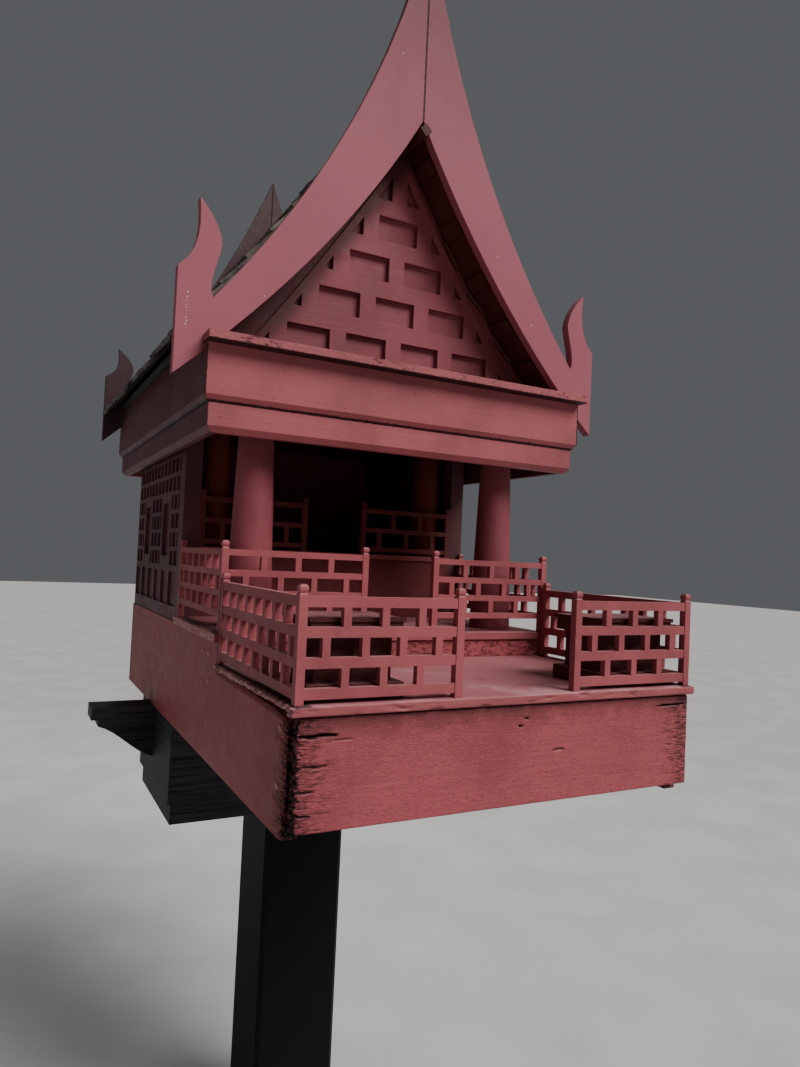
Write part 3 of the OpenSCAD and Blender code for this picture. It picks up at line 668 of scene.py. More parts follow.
@dataclass(frozen=True)
class WornDeck:
    """Floor boards whose red paint is trodden thin and covered with pale dust.

    Attributes:
        name: The material's name.
        bare: Share of the floor that has lost most of its colour.
        swept: Half the width of the floor that stays light; the floor is darker beside it.
        rim: Distance from the middle at which the worn edge begins.
        edge: Radius of the rounded edges.
    """

    name: str
    bare: float = 0.5
    swept: float = 345 * MM
    rim: float = 374 * MM
    edge: float = 2.2 * MM

    def build(self) -> bpy.types.Material:
        """Makes the material.

        Returns:
            The material.
        """
        graph = Graph(self.name)
        fibres = graph.clouds(DECK_FIBRES)
        broad = graph.clouds(TRODDEN_PATCHES)
        grit = graph.clouds(DECK_GRIT)
        normal, edges = graph.soft_edges(self.edge)
        level = graph.facing_up()
        colour = graph.blend(graph.fade(fibres, 0.3, 0.7), shaded(ROSE_RED, 0.72), ROSE_RED)
        trodden = graph.fade(broad, 0.62 - 0.35 * self.bare, 0.78 - 0.2 * self.bare)
        pale = graph.blend(graph.fade(grit, 0.35, 0.7), DECK_PINK, DUSTY_PINK)
        colour = graph.tint(colour, pale, level, graph.fade(trodden, 0.0, 1.0, 0.42, 0.95))
        colour = self.darker_sides_lighter_rim(graph, colour, grit, level)
        stains = graph.fade(graph.clouds(DECK_STAINS), 0.62, 0.72)
        colour = graph.tint(colour, DIRT_AND_SHADE_DARK, stains, 0.4)
        chips = graph.fade(graph.clouds(CHIPPED_LIP), 0.5, 0.58)
        colour = graph.tint(colour, PALE_PRIMER, graph.times(edges, chips), 0.6)
        # Darker the deeper the wear: dirt and painted shade in gaps and hollows
        colour = graph.blend(graph.fade(graph.layer(HOLLOW), 0.35, 0.95), colour, DIRT_AND_SHADE_DARK)
        height = graph.pile([(fibres, 0.5), (grit, 0.25)])
        return graph.finish(colour, graph.fade(broad, 0.3, 0.7, 0.6, 0.85),
                            graph.bump(height, 0.9 * MM, normal))

    def darker_sides_lighter_rim(self, graph: Graph, colour: Socket, grit: Socket, level: Socket) -> Socket:
        """Makes the floor darker along its sides, and puts pale flecks on the worn edge outside
        them, which are chalky chips with a painted highlight.

        Args:
            graph: The material's nodes.
            colour: The colour so far.
            grit: The grime's unevenness.
            level: A mask that is 1 on level faces.

        Returns:
            The colour's socket.
        """
        # Darker along the sides, but not on the worn rim
        sideways = graph.distance(graph.axis("X"), 0.0)
        outside = graph.fade(sideways, self.swept, self.swept + 10 * MM)
        rim = graph.fade(sideways, self.rim - 2 * MM, self.rim + 2 * MM)
        darkening = graph.times(outside, graph.fade(grit, 0.3, 0.6, 0.95, 0.75))
        darkening = graph.times(darkening, graph.minus(1.0, rim))
        colour = graph.tint(colour, DIRT_AND_SHADE_DARK, darkening, level)
        # Pale flecks on the front of the worn rim: chalky chips with a painted highlight
        flecks = graph.fade(graph.clouds(CHALK_AND_HIGHLIGHT_FLECKS), 0.48, 0.58)
        flecks = graph.times(flecks, graph.fade(graph.facing("Y"), -0.7, -0.35))
        return graph.tint(colour, CHALK_AND_HIGHLIGHT_PINK, flecks, rim)


@dataclass(frozen=True)
class BareTimber:
    """Unpainted or thinly stained timber with visible fibres and rubbed edges.

    Attributes:
        name: The material's name.
        light: Colour of the soft wood.
        dark: Colour of the fibres.
        grain: The way the fibres run.
        gloss: The surface's roughness.
        sheen: Strength of its highlights.
        edge: Radius of the rounded edges.
    """

    name: str
    light: Colour = BROWN_WOOD
    dark: Colour = DIRT_AND_SHADE_DARK
    grain: Grain = Grain.DEEP
    gloss: float = 0.7
    sheen: float = 0.3
    edge: float = 1.6 * MM

    def build(self) -> bpy.types.Material:
        """Makes the material.

        Returns:
            The material.
        """
        graph = Graph(self.name)
        fibres = graph.clouds(TIMBER_FIBRES, self.grain)
        broad = graph.clouds(TIMBER_TONES)
        normal, edges = graph.soft_edges(self.edge)
        lighter = shaded(self.light, 1.4)
        colour = graph.blend(graph.fade(fibres, 0.62, 0.34, 0.0, 0.8), self.light, self.dark)
        colour = graph.blend(graph.fade(broad, 0.5, 0.8, 0.0, 0.6), colour, lighter)
        worn = graph.times(edges, graph.fade(broad, 0.4, 0.6))
        colour = graph.tint(colour, lighter, worn, 0.4)
        graph.shader.inputs["Specular IOR Level"].default_value = self.sheen
        return graph.finish(colour, self.gloss, graph.bump(fibres, 0.8 * MM, normal))


@dataclass(frozen=True)
class WeatheredShingle:
    """Grey split wood with a tone of its own for each shingle.

    Attributes:
        name: The material's name.
        roughness: Its roughness.
    """

    name: str
    roughness: float = 0.88

    def build(self) -> bpy.types.Material:
        """Makes the material.

        Returns:
            The material.
        """
        graph = Graph(self.name)
        # The fibres run down the slopes, so they are finest along the ridge
        fibres = graph.clouds(SHINGLE_FIBRES, Grain.DEEP)
        lichen = graph.clouds(LICHEN_SPOTS)
        colour = graph.blend(graph.layer(TONE), DARK_GREY_WOOD, GREY_WOOD)
        colour = graph.blend(graph.fade(fibres, 0.6, 0.36, 0.0, 0.75), colour, DIRT_AND_SHADE_DARK)
        colour = graph.blend(graph.fade(lichen, 0.58, 0.72, 0.0, 0.45), colour, LICHEN_GREY)
        return graph.finish(colour, self.roughness, graph.bump(fibres, 1.6 * MM))


@dataclass(frozen=True)
class PlainFinish:
    """A small or plain surface with a little unevenness, such as a screw head or a floor.

    Attributes:
        name: The material's name.
        colour: Its colour.
        roughness: Its roughness.
        grit: Size of its unevenness in metres.
    """

    name: str
    colour: Colour
    roughness: float = 0.6
    grit: float = 3.0 * MM

    def build(self) -> bpy.types.Material:
        """Makes the material.

        Returns:
            The material.
        """
        graph = Graph(self.name)
        speckle = graph.clouds(Clouds(1.0 / self.grit))
        colour = graph.blend(graph.fade(speckle, 0.35, 0.65), shaded(self.colour, 0.9),
                             self.colour)
        return graph.finish(colour, self.roughness, graph.bump(speckle, 0.05 * MM))


def add_object(name: str, data: Any) -> bpy.types.Object:
    """Makes an object and puts it into the scene.

    Args:
        name: The object's name.
        data: Its mesh, lamp or camera.

    Returns:
        The new object.
    """
    made = bpy.data.objects.new(name, data)
    bpy.context.scene.collection.objects.link(made)
    return made


def make_piece(name: str, mesh: bmesh.types.BMesh, material: bpy.types.Material,
               smooth: bool = False) -> bpy.types.Object:
    """Turns built geometry into a piece of the house.

    Args:
        name: The piece's name.
        mesh: Its geometry, which is used up.
        material: Its finish.
        smooth: Whether its faces are shaded smooth.

    Returns:
        The new object, riding on the house.
    """
    bmesh.ops.recalc_face_normals(mesh, faces=mesh.faces)
    data = bpy.data.meshes.new(name)
    mesh.to_mesh(data)
    mesh.free()
    if smooth:
        data.polygons.foreach_set("use_smooth", [True] * len(data.polygons))
    data.materials.append(material)
    piece = add_object(name, data)
    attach(piece, BODY)
    LOG.info("%s: %d faces", name, len(data.polygons))
    return piece


def join_rings(mesh: bmesh.types.BMesh, first: Sequence[Any], second: Sequence[Any]) -> None:
    """Closes the band between two rings that have as many points.

    Args:
        mesh: The geometry.
        first: The first ring's points.
        second: The second ring's points.
    """
    for i, corner in enumerate(first):
        j = (i + 1) % len(first)
        mesh.faces.new((corner, first[j], second[j], second[i]))


def ragged(x: float, y: float, z: float, layers: int = 3, calm: float = 0.8,
           gap: float = 2.1) -> float:
    """Gives a ragged value around 0, the same each time at the same point.

    Args:
        x: The point's X.
        y: Its Y.
        z: Its Z.
        layers: How many ever finer layers the value has.
        calm: How fast the layers get weaker.
        gap: How much finer each layer is than the one before.

    Returns:
        The value.
    """
    return noise.fractal(Vector((x, y, z)), calm, gap, layers)


def grid_block(low: Vector, high: Vector, steps: Sequence[float]) -> bmesh.types.BMesh:
    """Makes a block whose faces are fine grids, ready to be worn down.

    Args:
        low: The block's lowest corner.
        high: The block's highest corner.
        steps: Wanted grid spacing along X, Y and Z.

    Returns:
        The block's geometry.
    """
    counts = [max(2, round((high[a] - low[a]) / steps[a])) for a in range(3)]
    mesh = bmesh.new()
    known: dict[tuple[int, ...], bmesh.types.BMVert] = {}

    def corner(key: tuple[int, ...]) -> bmesh.types.BMVert:
        """Gives a grid point, made once.

        Args:
            key: The point's number along each axis.

        Returns:
            The point.
        """
        if key not in known:
            spot = [low[a] + (high[a] - low[a]) * key[a] / counts[a] for a in range(3)]
            known[key] = mesh.verts.new(spot)
        return known[key]

    for axis in range(3):
        first, second = (axis + 1) % 3, (axis + 2) % 3
        for level in (0, counts[axis]):
            for i in range(counts[first]):
                for j in range(counts[second]):
                    ring = []
                    for a, b in ((i, j), (i + 1, j), (i + 1, j + 1), (i, j + 1)):
                        key = [0, 0, 0]
                        key[axis], key[first], key[second] = level, a, b
                        ring.append(corner(tuple(key)))
                    mesh.faces.new(ring if level else ring[::-1])
    return mesh


@dataclass
class AgedBoard:
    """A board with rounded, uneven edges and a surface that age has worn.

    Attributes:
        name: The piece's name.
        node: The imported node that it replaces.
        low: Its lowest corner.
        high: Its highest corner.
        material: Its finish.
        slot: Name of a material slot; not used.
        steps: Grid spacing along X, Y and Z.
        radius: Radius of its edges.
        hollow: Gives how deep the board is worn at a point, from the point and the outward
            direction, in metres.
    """

    name: str
    node: str
    low: Vector
    high: Vector
    material: bpy.types.Material
    slot: str
    steps: tuple[float, float, float]
    radius: float
    hollow: Callable[[Vector, Vector], float]

    def build(self) -> None:
        """Makes the board and hides its node."""
        mesh = grid_block(self.low, self.high, self.steps)
        hollow = mesh.verts.layers.float.new(HOLLOW)
        for vertex in mesh.verts:
            inner = Vector([min(max(vertex.co[a], self.low[a] + self.radius),
                                self.high[a] - self.radius) for a in range(3)])
            outward = (vertex.co - inner).normalized()
            surface = inner + outward * self.radius
            depth = self.hollow(surface, outward)
            vertex.co = surface - outward * depth
            vertex[hollow] = min(1.0, depth / DEEP_HOLLOW)
        piece = make_piece(self.name, mesh, self.material, smooth=True)
        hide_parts(self.node)


@dataclass(frozen=True)
class Crack:
    """An open crack along a board's face.

    Attributes:
        start: X of its left end.
        end: X of its right end.
        height: Z of its middle line.
        width: Its width in the middle.
        depth: Its depth in the middle.
        waver: How far it wavers up and down.
    """

    start: float
    end: float
    height: float
    width: float
    depth: float
    waver: float = 2.5 * MM

    def depth_at(self, spot: Vector) -> float:
        """Gives the crack's depth at a point of the face.

        Args:
            spot: The point.

        Returns:
            The depth, or 0 beside the crack.
        """
        along = (spot.x - self.start) / (self.end - self.start)
        if not 0.0 < along < 1.0:
            return 0.0
        wave = self.waver * noise.noise(Vector((spot.x * 45, 0.0, self.height * 90)))
        open_here = self.width * math.sin(math.pi * along) ** 0.5
        reach = abs(spot.z - self.height - wave) / max(open_here, 0.1 * MM)
        return self.depth * max(0.0, 1.0 - reach * reach)


@dataclass
class FloorBox:
    """The terrace's front board and plate, whose corner has rotted and whose lip is worn.

    Attributes:
        house: The house's places.
        paint: Finish of the front board.
        deck: Finish of the terrace plate.
        board_edge: Radius of the front board's edges.
        board_steps: Grid spacing of the front board along X, Y and Z.
        plate_edge: Radius of the plate's edges.
        plate_steps: Grid spacing of the plate along X, Y and Z.
        plate_thick: Thickness of the terrace plate.
        end_inset: How far the front board's ends stand in from the plate's edges.
        end_lost: Length that the front board's left end has lost.
        rot_reach: How far the rot goes in from the front board's left end.
        rot_depth: How deep the rot is there.
        joint_height: Height of the wear under the plate.
        joint_waver: How much that height varies.
        joint_depth: Depth of the wear under the plate.
        lip_reach: How far in the plate's left lip is worn.
        lip_thick: Thickness of what is left of the lip.
        lip_lost: Depth of the lip's wear from below.
        lip_gap: Depth of the gap under what is left of it.
        lip_lumps: Depth of the lumps on its edge.
        lip_bites: Depth of the larger bites in its edge.
        lip_run: Distance from the front over which the lip's wear fades.
        whole_corner: Distance from the plate's front at which the lip's wear begins.
        chip_depth: Depth of the chips in the plate's front edge.
        cracks: The front board's open cracks.
    """

    # Each open crack's left end, right end and height, from the middle and the terrace floor,
    # its width and its depth, all in millimetres
    CRACKS: ClassVar[tuple[tuple[float, ...], ...]] = (
        (-373, -306, -42, 3.4, 9.0), (-330, -279, -50, 1.2, 4.0), (-371, -322, -84, 1.9, 5.0),
        (-373, -338, -118, 1.8, 5.0), (-372, -345, -150, 2.2, 6.0), (13, 21, -39, 2.6, 7.0),
        (0, 8, -49, 2.4, 7.0), (300, 368, -33, 2.4, 7.0), (70, 96, -92, 1.8, 5.0))

    house: House
    paint: bpy.types.Material
    deck: bpy.types.Material
    board_edge: float = 2.2 * MM
    board_steps: tuple[float, float, float] = (3.6 * MM, 4.0 * MM, 1.9 * MM)
    plate_edge: float = 3.0 * MM
    plate_steps: tuple[float, float, float] = (5.0 * MM, 4.0 * MM, 1.9 * MM)
    plate_thick: float = 15 * MM
    end_inset: float = 8 * MM
    end_lost: float = 6 * MM
    rot_reach: float = 9 * MM
    rot_depth: float = 6.5 * MM
    joint_height: float = 3.6 * MM
    joint_waver: float = 1.6 * MM
    joint_depth: float = 5 * MM
    lip_reach: float = 15 * MM
    lip_thick: float = 8 * MM
    lip_lost: float = 6.5 * MM
    lip_gap: float = 7.0 * MM
    lip_lumps: float = 3.5 * MM
    lip_bites: float = 4.0 * MM
    lip_run: float = 450 * MM
    whole_corner: float = 16 * MM
    chip_depth: float = 7 * MM
    cracks: list[Crack] = field(default_factory=list)

    def build(self) -> None:
        """Makes both boards."""
        for start, end, height, width, depth in self.CRACKS:
            left, right = self.house.place(start, 0, height), self.house.place(end, 0, height)
            self.cracks.append(Crack(left.x, right.x, left.z, width * MM, depth * MM))
        low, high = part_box("front_board")
        low = low + Vector((self.end_lost, 0.0, 0.0))
        AgedBoard("front_board_aged", "front_board", low, high, self.paint, "red_paint",
                  self.board_steps, self.board_edge, self.board_wear).build()
        low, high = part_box("terrace_floor")
        AgedBoard("terrace_plate_worn", "terrace_floor", low, high, self.deck, "worn_deck",
                  self.plate_steps, self.plate_edge, self.plate_wear).build()

    def board_wear(self, spot: Vector, outward: Vector) -> float:
        """Gives how deep the front board is worn at a point.

        Args:
            spot: The point.
            outward: The direction in which its face looks.

        Returns:
            The depth in metres.
        """
        fibres = noise.noise(Vector((spot.x * 30, spot.y * 60, spot.z * 330)))
        worn = 0.3 * MM * (fibres + 1.0)
        if outward.y < TO_FRONT:
            worn += sum(crack.depth_at(spot) for crack in self.cracks)
            below = self.house.terrace - self.plate_thick - spot.z
            gap = self.joint_height + self.joint_waver * ragged(spot.x * 26, 0.0, 4.0)
            worn += self.joint_depth * max(0.0, 1.0 - below / gap)
        inside = spot.x + self.house.half - self.end_inset - self.end_lost
        if inside < self.rot_reach:
            near = 1.0 - inside / self.rot_reach
            flakes = ragged(spot.x * 60, spot.y * 120, spot.z * 230, layers=4)
            pits = ragged(0.0, spot.y * 60, spot.z * 55, calm=0.7, gap=2.0)
            worn += near ** 0.7 * max(0.0, 0.9 * flakes + pits + 0.35) * self.rot_depth
        return worn

    def plate_wear(self, spot: Vector, outward: Vector) -> float:
        """Gives how deep the terrace plate is worn at a point.

        Args:
            spot: The point.
            outward: The direction in which its face looks.

        Returns:
            The depth in metres.
        """
        worn = 0.2 * MM * (1.0 + noise.noise(spot * 60))
        if spot.x + self.house.half < self.lip_reach:
            worn += self.lip_wear(spot, outward)
        elif outward.y < TO_FRONT:
            chips = ragged(spot.x * 22, 0.0, spot.z * 70, layers=4, gap=2.2)
            worn += max(0.0, chips - 0.28) * self.chip_depth
        return max(0.0, worn)

    def lip_wear(self, spot: Vector, outward: Vector) -> float:
        """Gives how much more the plate's left lip is worn at a point.

        Args:
            spot: The point.
            outward: The direction in which its face looks.

        Returns:
            The depth in metres.
        """
        behind = spot.y - self.house.front
        lumps = ragged(0.0, spot.y * 80, spot.z * 110, layers=4, calm=0.6, gap=2.2)
        bites = ragged(0.0, spot.y * 26, 3.0, gap=2.2)
        open_here = min(1.0, max(0.0, behind / self.whole_corner - 1.0))
        open_here *= max(0.3, 1.0 - behind / self.lip_run)
        near = min(1.0, 1.6 - 1.6 * (spot.x + self.house.half) / self.lip_reach)
        if outward.z < -0.5:
            return near * open_here * self.lip_lost
        thick = self.lip_thick * (1.0 + 0.35 * bites)
        below_top = self.house.terrace - spot.z
        gap = min(1.0, max(0.0, below_top / thick - 1.0) * 3) * open_here
        rough = max(0.0, lumps + 0.3) * self.lip_lumps + max(0.0, bites) * self.lip_bites
        return near * (rough + self.lip_gap * gap)


@dataclass
class RottenSideBoard:
    """The left side board, whose front end and upper edge have crumbled.

    Attributes:
        material: Its finish.
        node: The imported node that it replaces.
        front_reach: How far back from the front end the board is worn.
        top_reach: How far down from the upper edge it is worn.
        sunk: How much of the upper edge is lost at the front end.
        corner: How much more is lost at the very corner.
        corner_reach: How far back that reaches.
        step: Spacing of the grid in the worn part.
        back_even: Length that the whole front end has lost.
        back_flakes: Length that its flakes add to that.
        back_notches: Length that its notches add to that.
        round_reach: Distance from the edges over which the face is rounded.
        round_depth: Depth of the rounding.
        chip_reach: How far back from the front end the face is chipped.
        chip_depth: Depth of the chips.
        crumb_reach: Distance from the edges over which the face is uneven.
        crumb_depth: Depth of the unevenness.
    """

    material: bpy.types.Material
    node: str = "side_board_left"
    front_reach: float = 48 * MM
    top_reach: float = 40 * MM
    sunk: float = 7 * MM
    corner: float = 13 * MM
    corner_reach: float = 30 * MM
    step: float = 3 * MM
    back_even: float = 3 * MM
    back_flakes: float = 5 * MM
    back_notches: float = 8 * MM
    round_reach: float = 9 * MM
    round_depth: float = 5 * MM
    chip_reach: float = 40 * MM
    chip_depth: float = 4 * MM
    crumb_reach: float = 70 * MM
    crumb_depth: float = 0.8 * MM

    def build(self) -> None:
        """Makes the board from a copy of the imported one."""
        low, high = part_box(self.node)
        deck_low, deck_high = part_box("terrace_floor")
        top = deck_low.z
        mesh = bmesh.new()
        mesh.from_mesh(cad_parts[self.node].data)
        bmesh.ops.remove_doubles(mesh, verts=mesh.verts, dist=0.05 * MM)
        rear = low.y + self.front_reach
        self.cut(mesh, 1, low.y, rear, self.step)
        self.cut(mesh, 1, rear, deck_high.y, self.step * 2)
        self.cut(mesh, 2, low.z, top, self.step)
        self.cut(mesh, 0, low.x, high.x, self.step * 1.5)
        hollow = mesh.verts.layers.float.new(HOLLOW)
        for vertex in mesh.verts:
            from_top = top - vertex.co.z if vertex.co.y < deck_high.y else 1.0
            spot = Vector((vertex.co.x - low.x, vertex.co.y - low.y, from_top))
            moved, depth = self.wear(spot, deck_high.y - low.y)
            vertex.co += moved
            vertex[hollow] = min(1.0, depth / DEEP_HOLLOW)
        piece = make_piece("side_board_left_worn", mesh, self.material)
        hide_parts(self.node)

    def cut(self, mesh: bmesh.types.BMesh, axis: int, start: float, end: float,
            step: float) -> None:
        """Cuts the board's faces at even distances along one axis.

        Args:
            mesh: The board's geometry.
            axis: 0, 1 or 2 for X, Y or Z.
            start: Where the cuts begin.
            end: Where the last cut lies.
            step: Wanted distance between the cuts.
        """
        count = max(1, round((end - start) / step))
        for i in range(1, count + 1):
            spot, normal = Vector((0.0, 0.0, 0.0)), Vector((0.0, 0.0, 0.0))
            spot[axis], normal[axis] = start + (end - start) * i / count, 1.0
            geometry = mesh.verts[:] + mesh.edges[:] + mesh.faces[:]
            bmesh.ops.bisect_plane(mesh, geom=geometry, dist=0.01 * MM, plane_co=spot,
                                   plane_no=normal)

    def wear(self, spot: Vector, length: float) -> tuple[Vector, float]:
        """Gives how far a point moves and how deep the wear is there.

        Args:
            spot: Its distances from the outer face, from the front end and from the top.
            length: Length of the board's lower part.

        Returns:
            The way it moves, and the wear's depth.
        """
        flakes = ragged(spot.x * 40, spot.y * 30, spot.z * 85, layers=4, calm=0.7)
        notches = ragged(0.0, spot.y * 12, spot.z * 34, calm=0.7)
        back = self.back_even + self.back_flakes * max(0.0, flakes + 0.2)
        back += self.back_notches * max(0.0, notches)
        ahead = max(0.0, 1.0 - spot.y / length)
        lumps = ragged(spot.x * 30, spot.y * 45, 2.0, calm=0.7)
        lost = self.sunk * ahead ** 1.4 * (1.0 + 0.35 * lumps)
        lost += self.corner * max(0.0, 1.0 - spot.y / self.corner_reach) ** 2
        edge = min(spot.y, spot.z)
        rounding = max(0.0, 1.0 - edge / self.round_reach) ** 2 * self.round_depth
        chips = max(0.0, 1.0 - spot.y / self.chip_reach) * max(0.0, flakes + 0.05)
        chips *= self.chip_depth
        crumbs = max(0.0, 1.0 - edge / self.crumb_reach) * max(0.0, lumps) * self.crumb_depth
        inward = rounding + chips + crumbs if spot.x < MM else 0.0
        near_front = max(0.0, 1.0 - spot.y / self.front_reach)
        near_top = max(0.0, 1.0 - spot.z / self.top_reach)
        return Vector((inward, near_front * back, -near_top * lost)), chips * 1.5


class SlopeProfile:
    """The upper line of a roof slope, from the ridge down to the eave."""

    def __init__(self, node: str) -> None:
        """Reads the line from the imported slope's front and back ends.

        Args:
            node: The slope's node.
        """
        tops: dict[float, float] = {}
        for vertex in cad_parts[node].data.vertices:
            across = round(abs(vertex.co.x), 4)
            tops[across] = max(tops.get(across, 0.0), vertex.co.z)
        self.points = [Vector((x, 0.0, z)) for x, z in sorted(tops.items())]
        self.lengths = [0.0]
        for before, after in zip(self.points, self.points[1:]):
            self.lengths.append(self.lengths[-1] + (after - before).length)
        self.length = self.lengths[-1]

    def at(self, run: float) -> tuple[Vector, Vector, Vector]:
        """Gives a point of the line and the slope's directions there, for the right slope.

        Args:
            run: Distance down the slope from the ridge.

        Returns:
            The point, the unit direction down the slope and the one out of it.
        """
        last = len(self.points) - 2
        index = next((i for i in range(last) if self.lengths[i + 1] > run), last)
        before, after = self.points[index], self.points[index + 1]
        down = (after - before).normalized()
        return before + down * (run - self.lengths[index]), down, Vector((-down.z, 0.0, down.x))


@dataclass
class SlopeWork:
    """One roof slope while its shingles are laid.

    Attributes:
        side: -1 for the left slope and 1 for the right one.
        profile: The slope's upper line.
        front: Y of its front edge.
        back: Y of its back edge.
        chance: Its source of chance.
        mesh: The geometry that has been laid.
    """

    side: int
    profile: SlopeProfile
    front: float
    back: float
    chance: random.Random
    mesh: bmesh.types.BMesh = field(default_factory=bmesh.new)

    def __post_init__(self) -> None:
        """Makes room for each shingle's tone."""
        self.tone = self.mesh.verts.layers.float.new(TONE)

    def add_point(self, point: Vector, y: float, shade: float) -> bmesh.types.BMVert:
        """Adds one point.

        Args:
            point: Its place on the right slope.
            y: Its place along the ridge.
            shade: Its shingle's tone.

        Returns:
            The new point.
        """
        vertex = self.mesh.verts.new((self.side * point.x, y, point.z))
        vertex[self.tone] = shade
        return vertex


@dataclass
class ShingleRoof:
    """Split wood shingles in overlapping courses on boards, with caps along the ridge.

    Attributes:
        finish: Material of the shingles.
        boards: Material of the boards under them.
        length: Length of a shingle.
        exposure: Height of a shingle that shows.
        thickness: Thickness of a shingle.
        narrowest: Least width of a shingle.
        widest: Greatest width of a shingle.
        sliver: Width below which a cut shingle is left out.
        spacing: Least and greatest gap between two shingles.
        slip: How far a shingle strays up or down from its course.
        eave_slip: How far the lowest shingles have shrunk back from the eave.
        curl: Most by which a shingle's lower end curls up.
        curled: Share of the shingles that curl more than others.
        more_curl: How much more those curl.
        cup: Least and greatest hollowing of a shingle across its width.
        skew: Most by which a shingle's lower end is slanted.
        nibbled: Least and greatest length that a point of the lower end gains or loses.
        covering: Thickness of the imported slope, which the boards fill up.
        overhang: How far the shingles pass the boards at the eave.
        stations: Steps along a board's curve.
        rows: Steps along a shingle.
        columns: Steps across a shingle.
        cap_width: Width of a ridge cap on each slope.
        cap_thick: Thickness of a ridge cap.
        cap_count: Number of caps along the ridge.
        cap_lap: Length by which a cap covers the next.
        cap_rise: Height of a cap's front end over the slope.
        cap_seat: Height of its back end.
        cap_tones: Darkest and lightest tone of a cap.
        tone_spread: How much the shingles' tones differ.
        seed: Seed of the shingles' chance, from which each slope's own is made.
    """

    finish: bpy.types.Material
    boards: bpy.types.Material
    length: float = 212 * MM
    exposure: float = 72 * MM
    thickness: float = 7 * MM
    narrowest: float = 52 * MM
    widest: float = 96 * MM
    sliver: float = 12 * MM
    spacing: tuple[float, float] = (1.0 * MM, 3.5 * MM)
    slip: float = 4 * MM
    eave_slip: float = 9 * MM
    curl: float = 3.5 * MM
    curled: float = 0.12
    more_curl: float = 2.4
    cup: tuple[float, float] = (-1.2 * MM, 1.8 * MM)
    skew: float = 5.0 * MM
    nibbled: tuple[float, float] = (-2.5 * MM, 1.5 * MM)
    covering: float = 34 * MM
    overhang: float = 52 * MM
    stations: int = 14
    rows: int = 5
    columns: int = 3
    cap_width: float = 62 * MM
    cap_thick: float = 6 * MM
    cap_count: int = 6
    cap_lap: float = 18 * MM
    cap_rise: float = 3.0 * MM
    cap_seat: float = 0.5 * MM
    cap_tones: tuple[float, float] = (0.35, 0.85)
    tone_spread: float = 0.28
    seed: int = 71

    def build(self) -> None:
        """Makes both slopes and the ridge caps."""
        for side, node in ((-1, "roof_left"), (1, "roof_right")):
            low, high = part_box(node)
            chance = random.Random(self.seed + side)
            slope = SlopeWork(side, SlopeProfile(node), low.y, high.y, chance)
            self.lay_boards(slope, node)
            butt = slope.profile.length
            while butt > self.exposure * 0.4:
                self.lay_course(slope, butt)
                butt -= self.exposure
            self.lay_caps(slope)
            piece = make_piece(f"shingles_{node[5:]}", slope.mesh, self.finish)
            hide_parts(node)

    def lay_boards(self, slope: SlopeWork, node: str) -> None:
        """Makes the boards between the purlins and the shingles of one slope.

        Args:
            slope: The slope.
            node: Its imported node.
        """
        top, bottom = [], []
        for i in range(self.stations + 1):
            run = (slope.profile.length - self.overhang) * i / self.stations
            spot, _, out = slope.profile.at(run)
            lift = out if i else Vector((0.0, 0.0, 1.0 / max(out.z, 0.2)))
            top.append(spot - lift * self.thickness * 3)
            bottom.append(spot - lift * (self.covering - 0.4 * MM))
        outline = top + bottom[::-1]
        mesh = bmesh.new()
        rings = [[mesh.verts.new((slope.side * p.x, y, p.z)) for p in outline]
                 for y in (slope.front, slope.back)]
        join_rings(mesh, *rings)
        last = len(outline) - 1
        for ring in rings:
            for i in range(self.stations):
                mesh.faces.new((ring[i], ring[i + 1], ring[last - 1 - i], ring[last - i]))
        piece = make_piece(f"roof_boards_{node[5:]}", mesh, self.boards)
        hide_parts(node)

    def lay_course(self, slope: SlopeWork, butt: float) -> None:
        """Lays one row of shingles.

        Args:
            slope: The slope.
            butt: Distance down the slope to the row's lower ends.
        """
        chance, length = slope.chance, slope.profile.length
        y = slope.front - chance.uniform(0.0, self.narrowest)
        while y < slope.back:
            width = chance.uniform(self.narrowest, self.widest)
            near, far = max(y, slope.front), min(y + width, slope.back)
            if far - near > self.sliver:
                slip = chance.gauss(0.0, self.slip)
                if butt > length - MM:
                    slip = -abs(chance.gauss(0.0, self.eave_slip))
                self.add_shingle(slope, min(butt + slip, length), near, far)
            y += width + chance.uniform(*self.spacing)

    def add_shingle(self, slope: SlopeWork, butt: float, near: float, far: float) -> None:
        """Adds one thin, slightly curled shingle.

        Args:
            slope: The slope.
            butt: Distance down the slope to its lower end.
            near: Y of its front edge.
            far: Y of its back edge.
        """
        chance, mesh = slope.chance, slope.mesh
        shade = min(1.0, max(0.0, chance.gauss(0.5, self.tone_spread)))
        curl = chance.uniform(0.0, self.curl)
        curl *= self.more_curl if chance.random() < self.curled else 1.0
        cup = chance.uniform(*self.cup)
        skew = chance.uniform(-self.skew, self.skew)
        head = max(0.0, butt - self.length)
        lower: list[list[Any]] = []
        upper: list[list[Any]] = []
        for row in range(self.rows + 1):
            along = row / self.rows
            lower.append([])
            upper.append([])
            for column in range(self.columns + 1):
                across = column / self.columns
                nibble = chance.uniform(*self.nibbled) if row == self.rows else 0.0
                run = head + (butt - head) * along + (skew * (across - 0.5) + nibble) * along
                spot, _, out = slope.profile.at(min(run, slope.profile.length + 1.5 * MM))
                lift = -3.0 * self.thickness + 2.0 * self.thickness * along
                lift += curl * along ** 3 + cup * (across - 0.5) ** 2 * 4.0 * along
                thick = self.thickness * (0.55 + 0.45 * along)
                for sheet, rise in ((lower, lift), (upper, lift + thick)):
                    point = spot + out * rise
                    point.x = max(point.x, 0.0)
                    y = near + (far - near) * across
                    sheet[row].append(slope.add_point(point, y, shade))
        for row in range(self.rows):
            for column in range(self.columns):
                for sheet in (lower, upper):
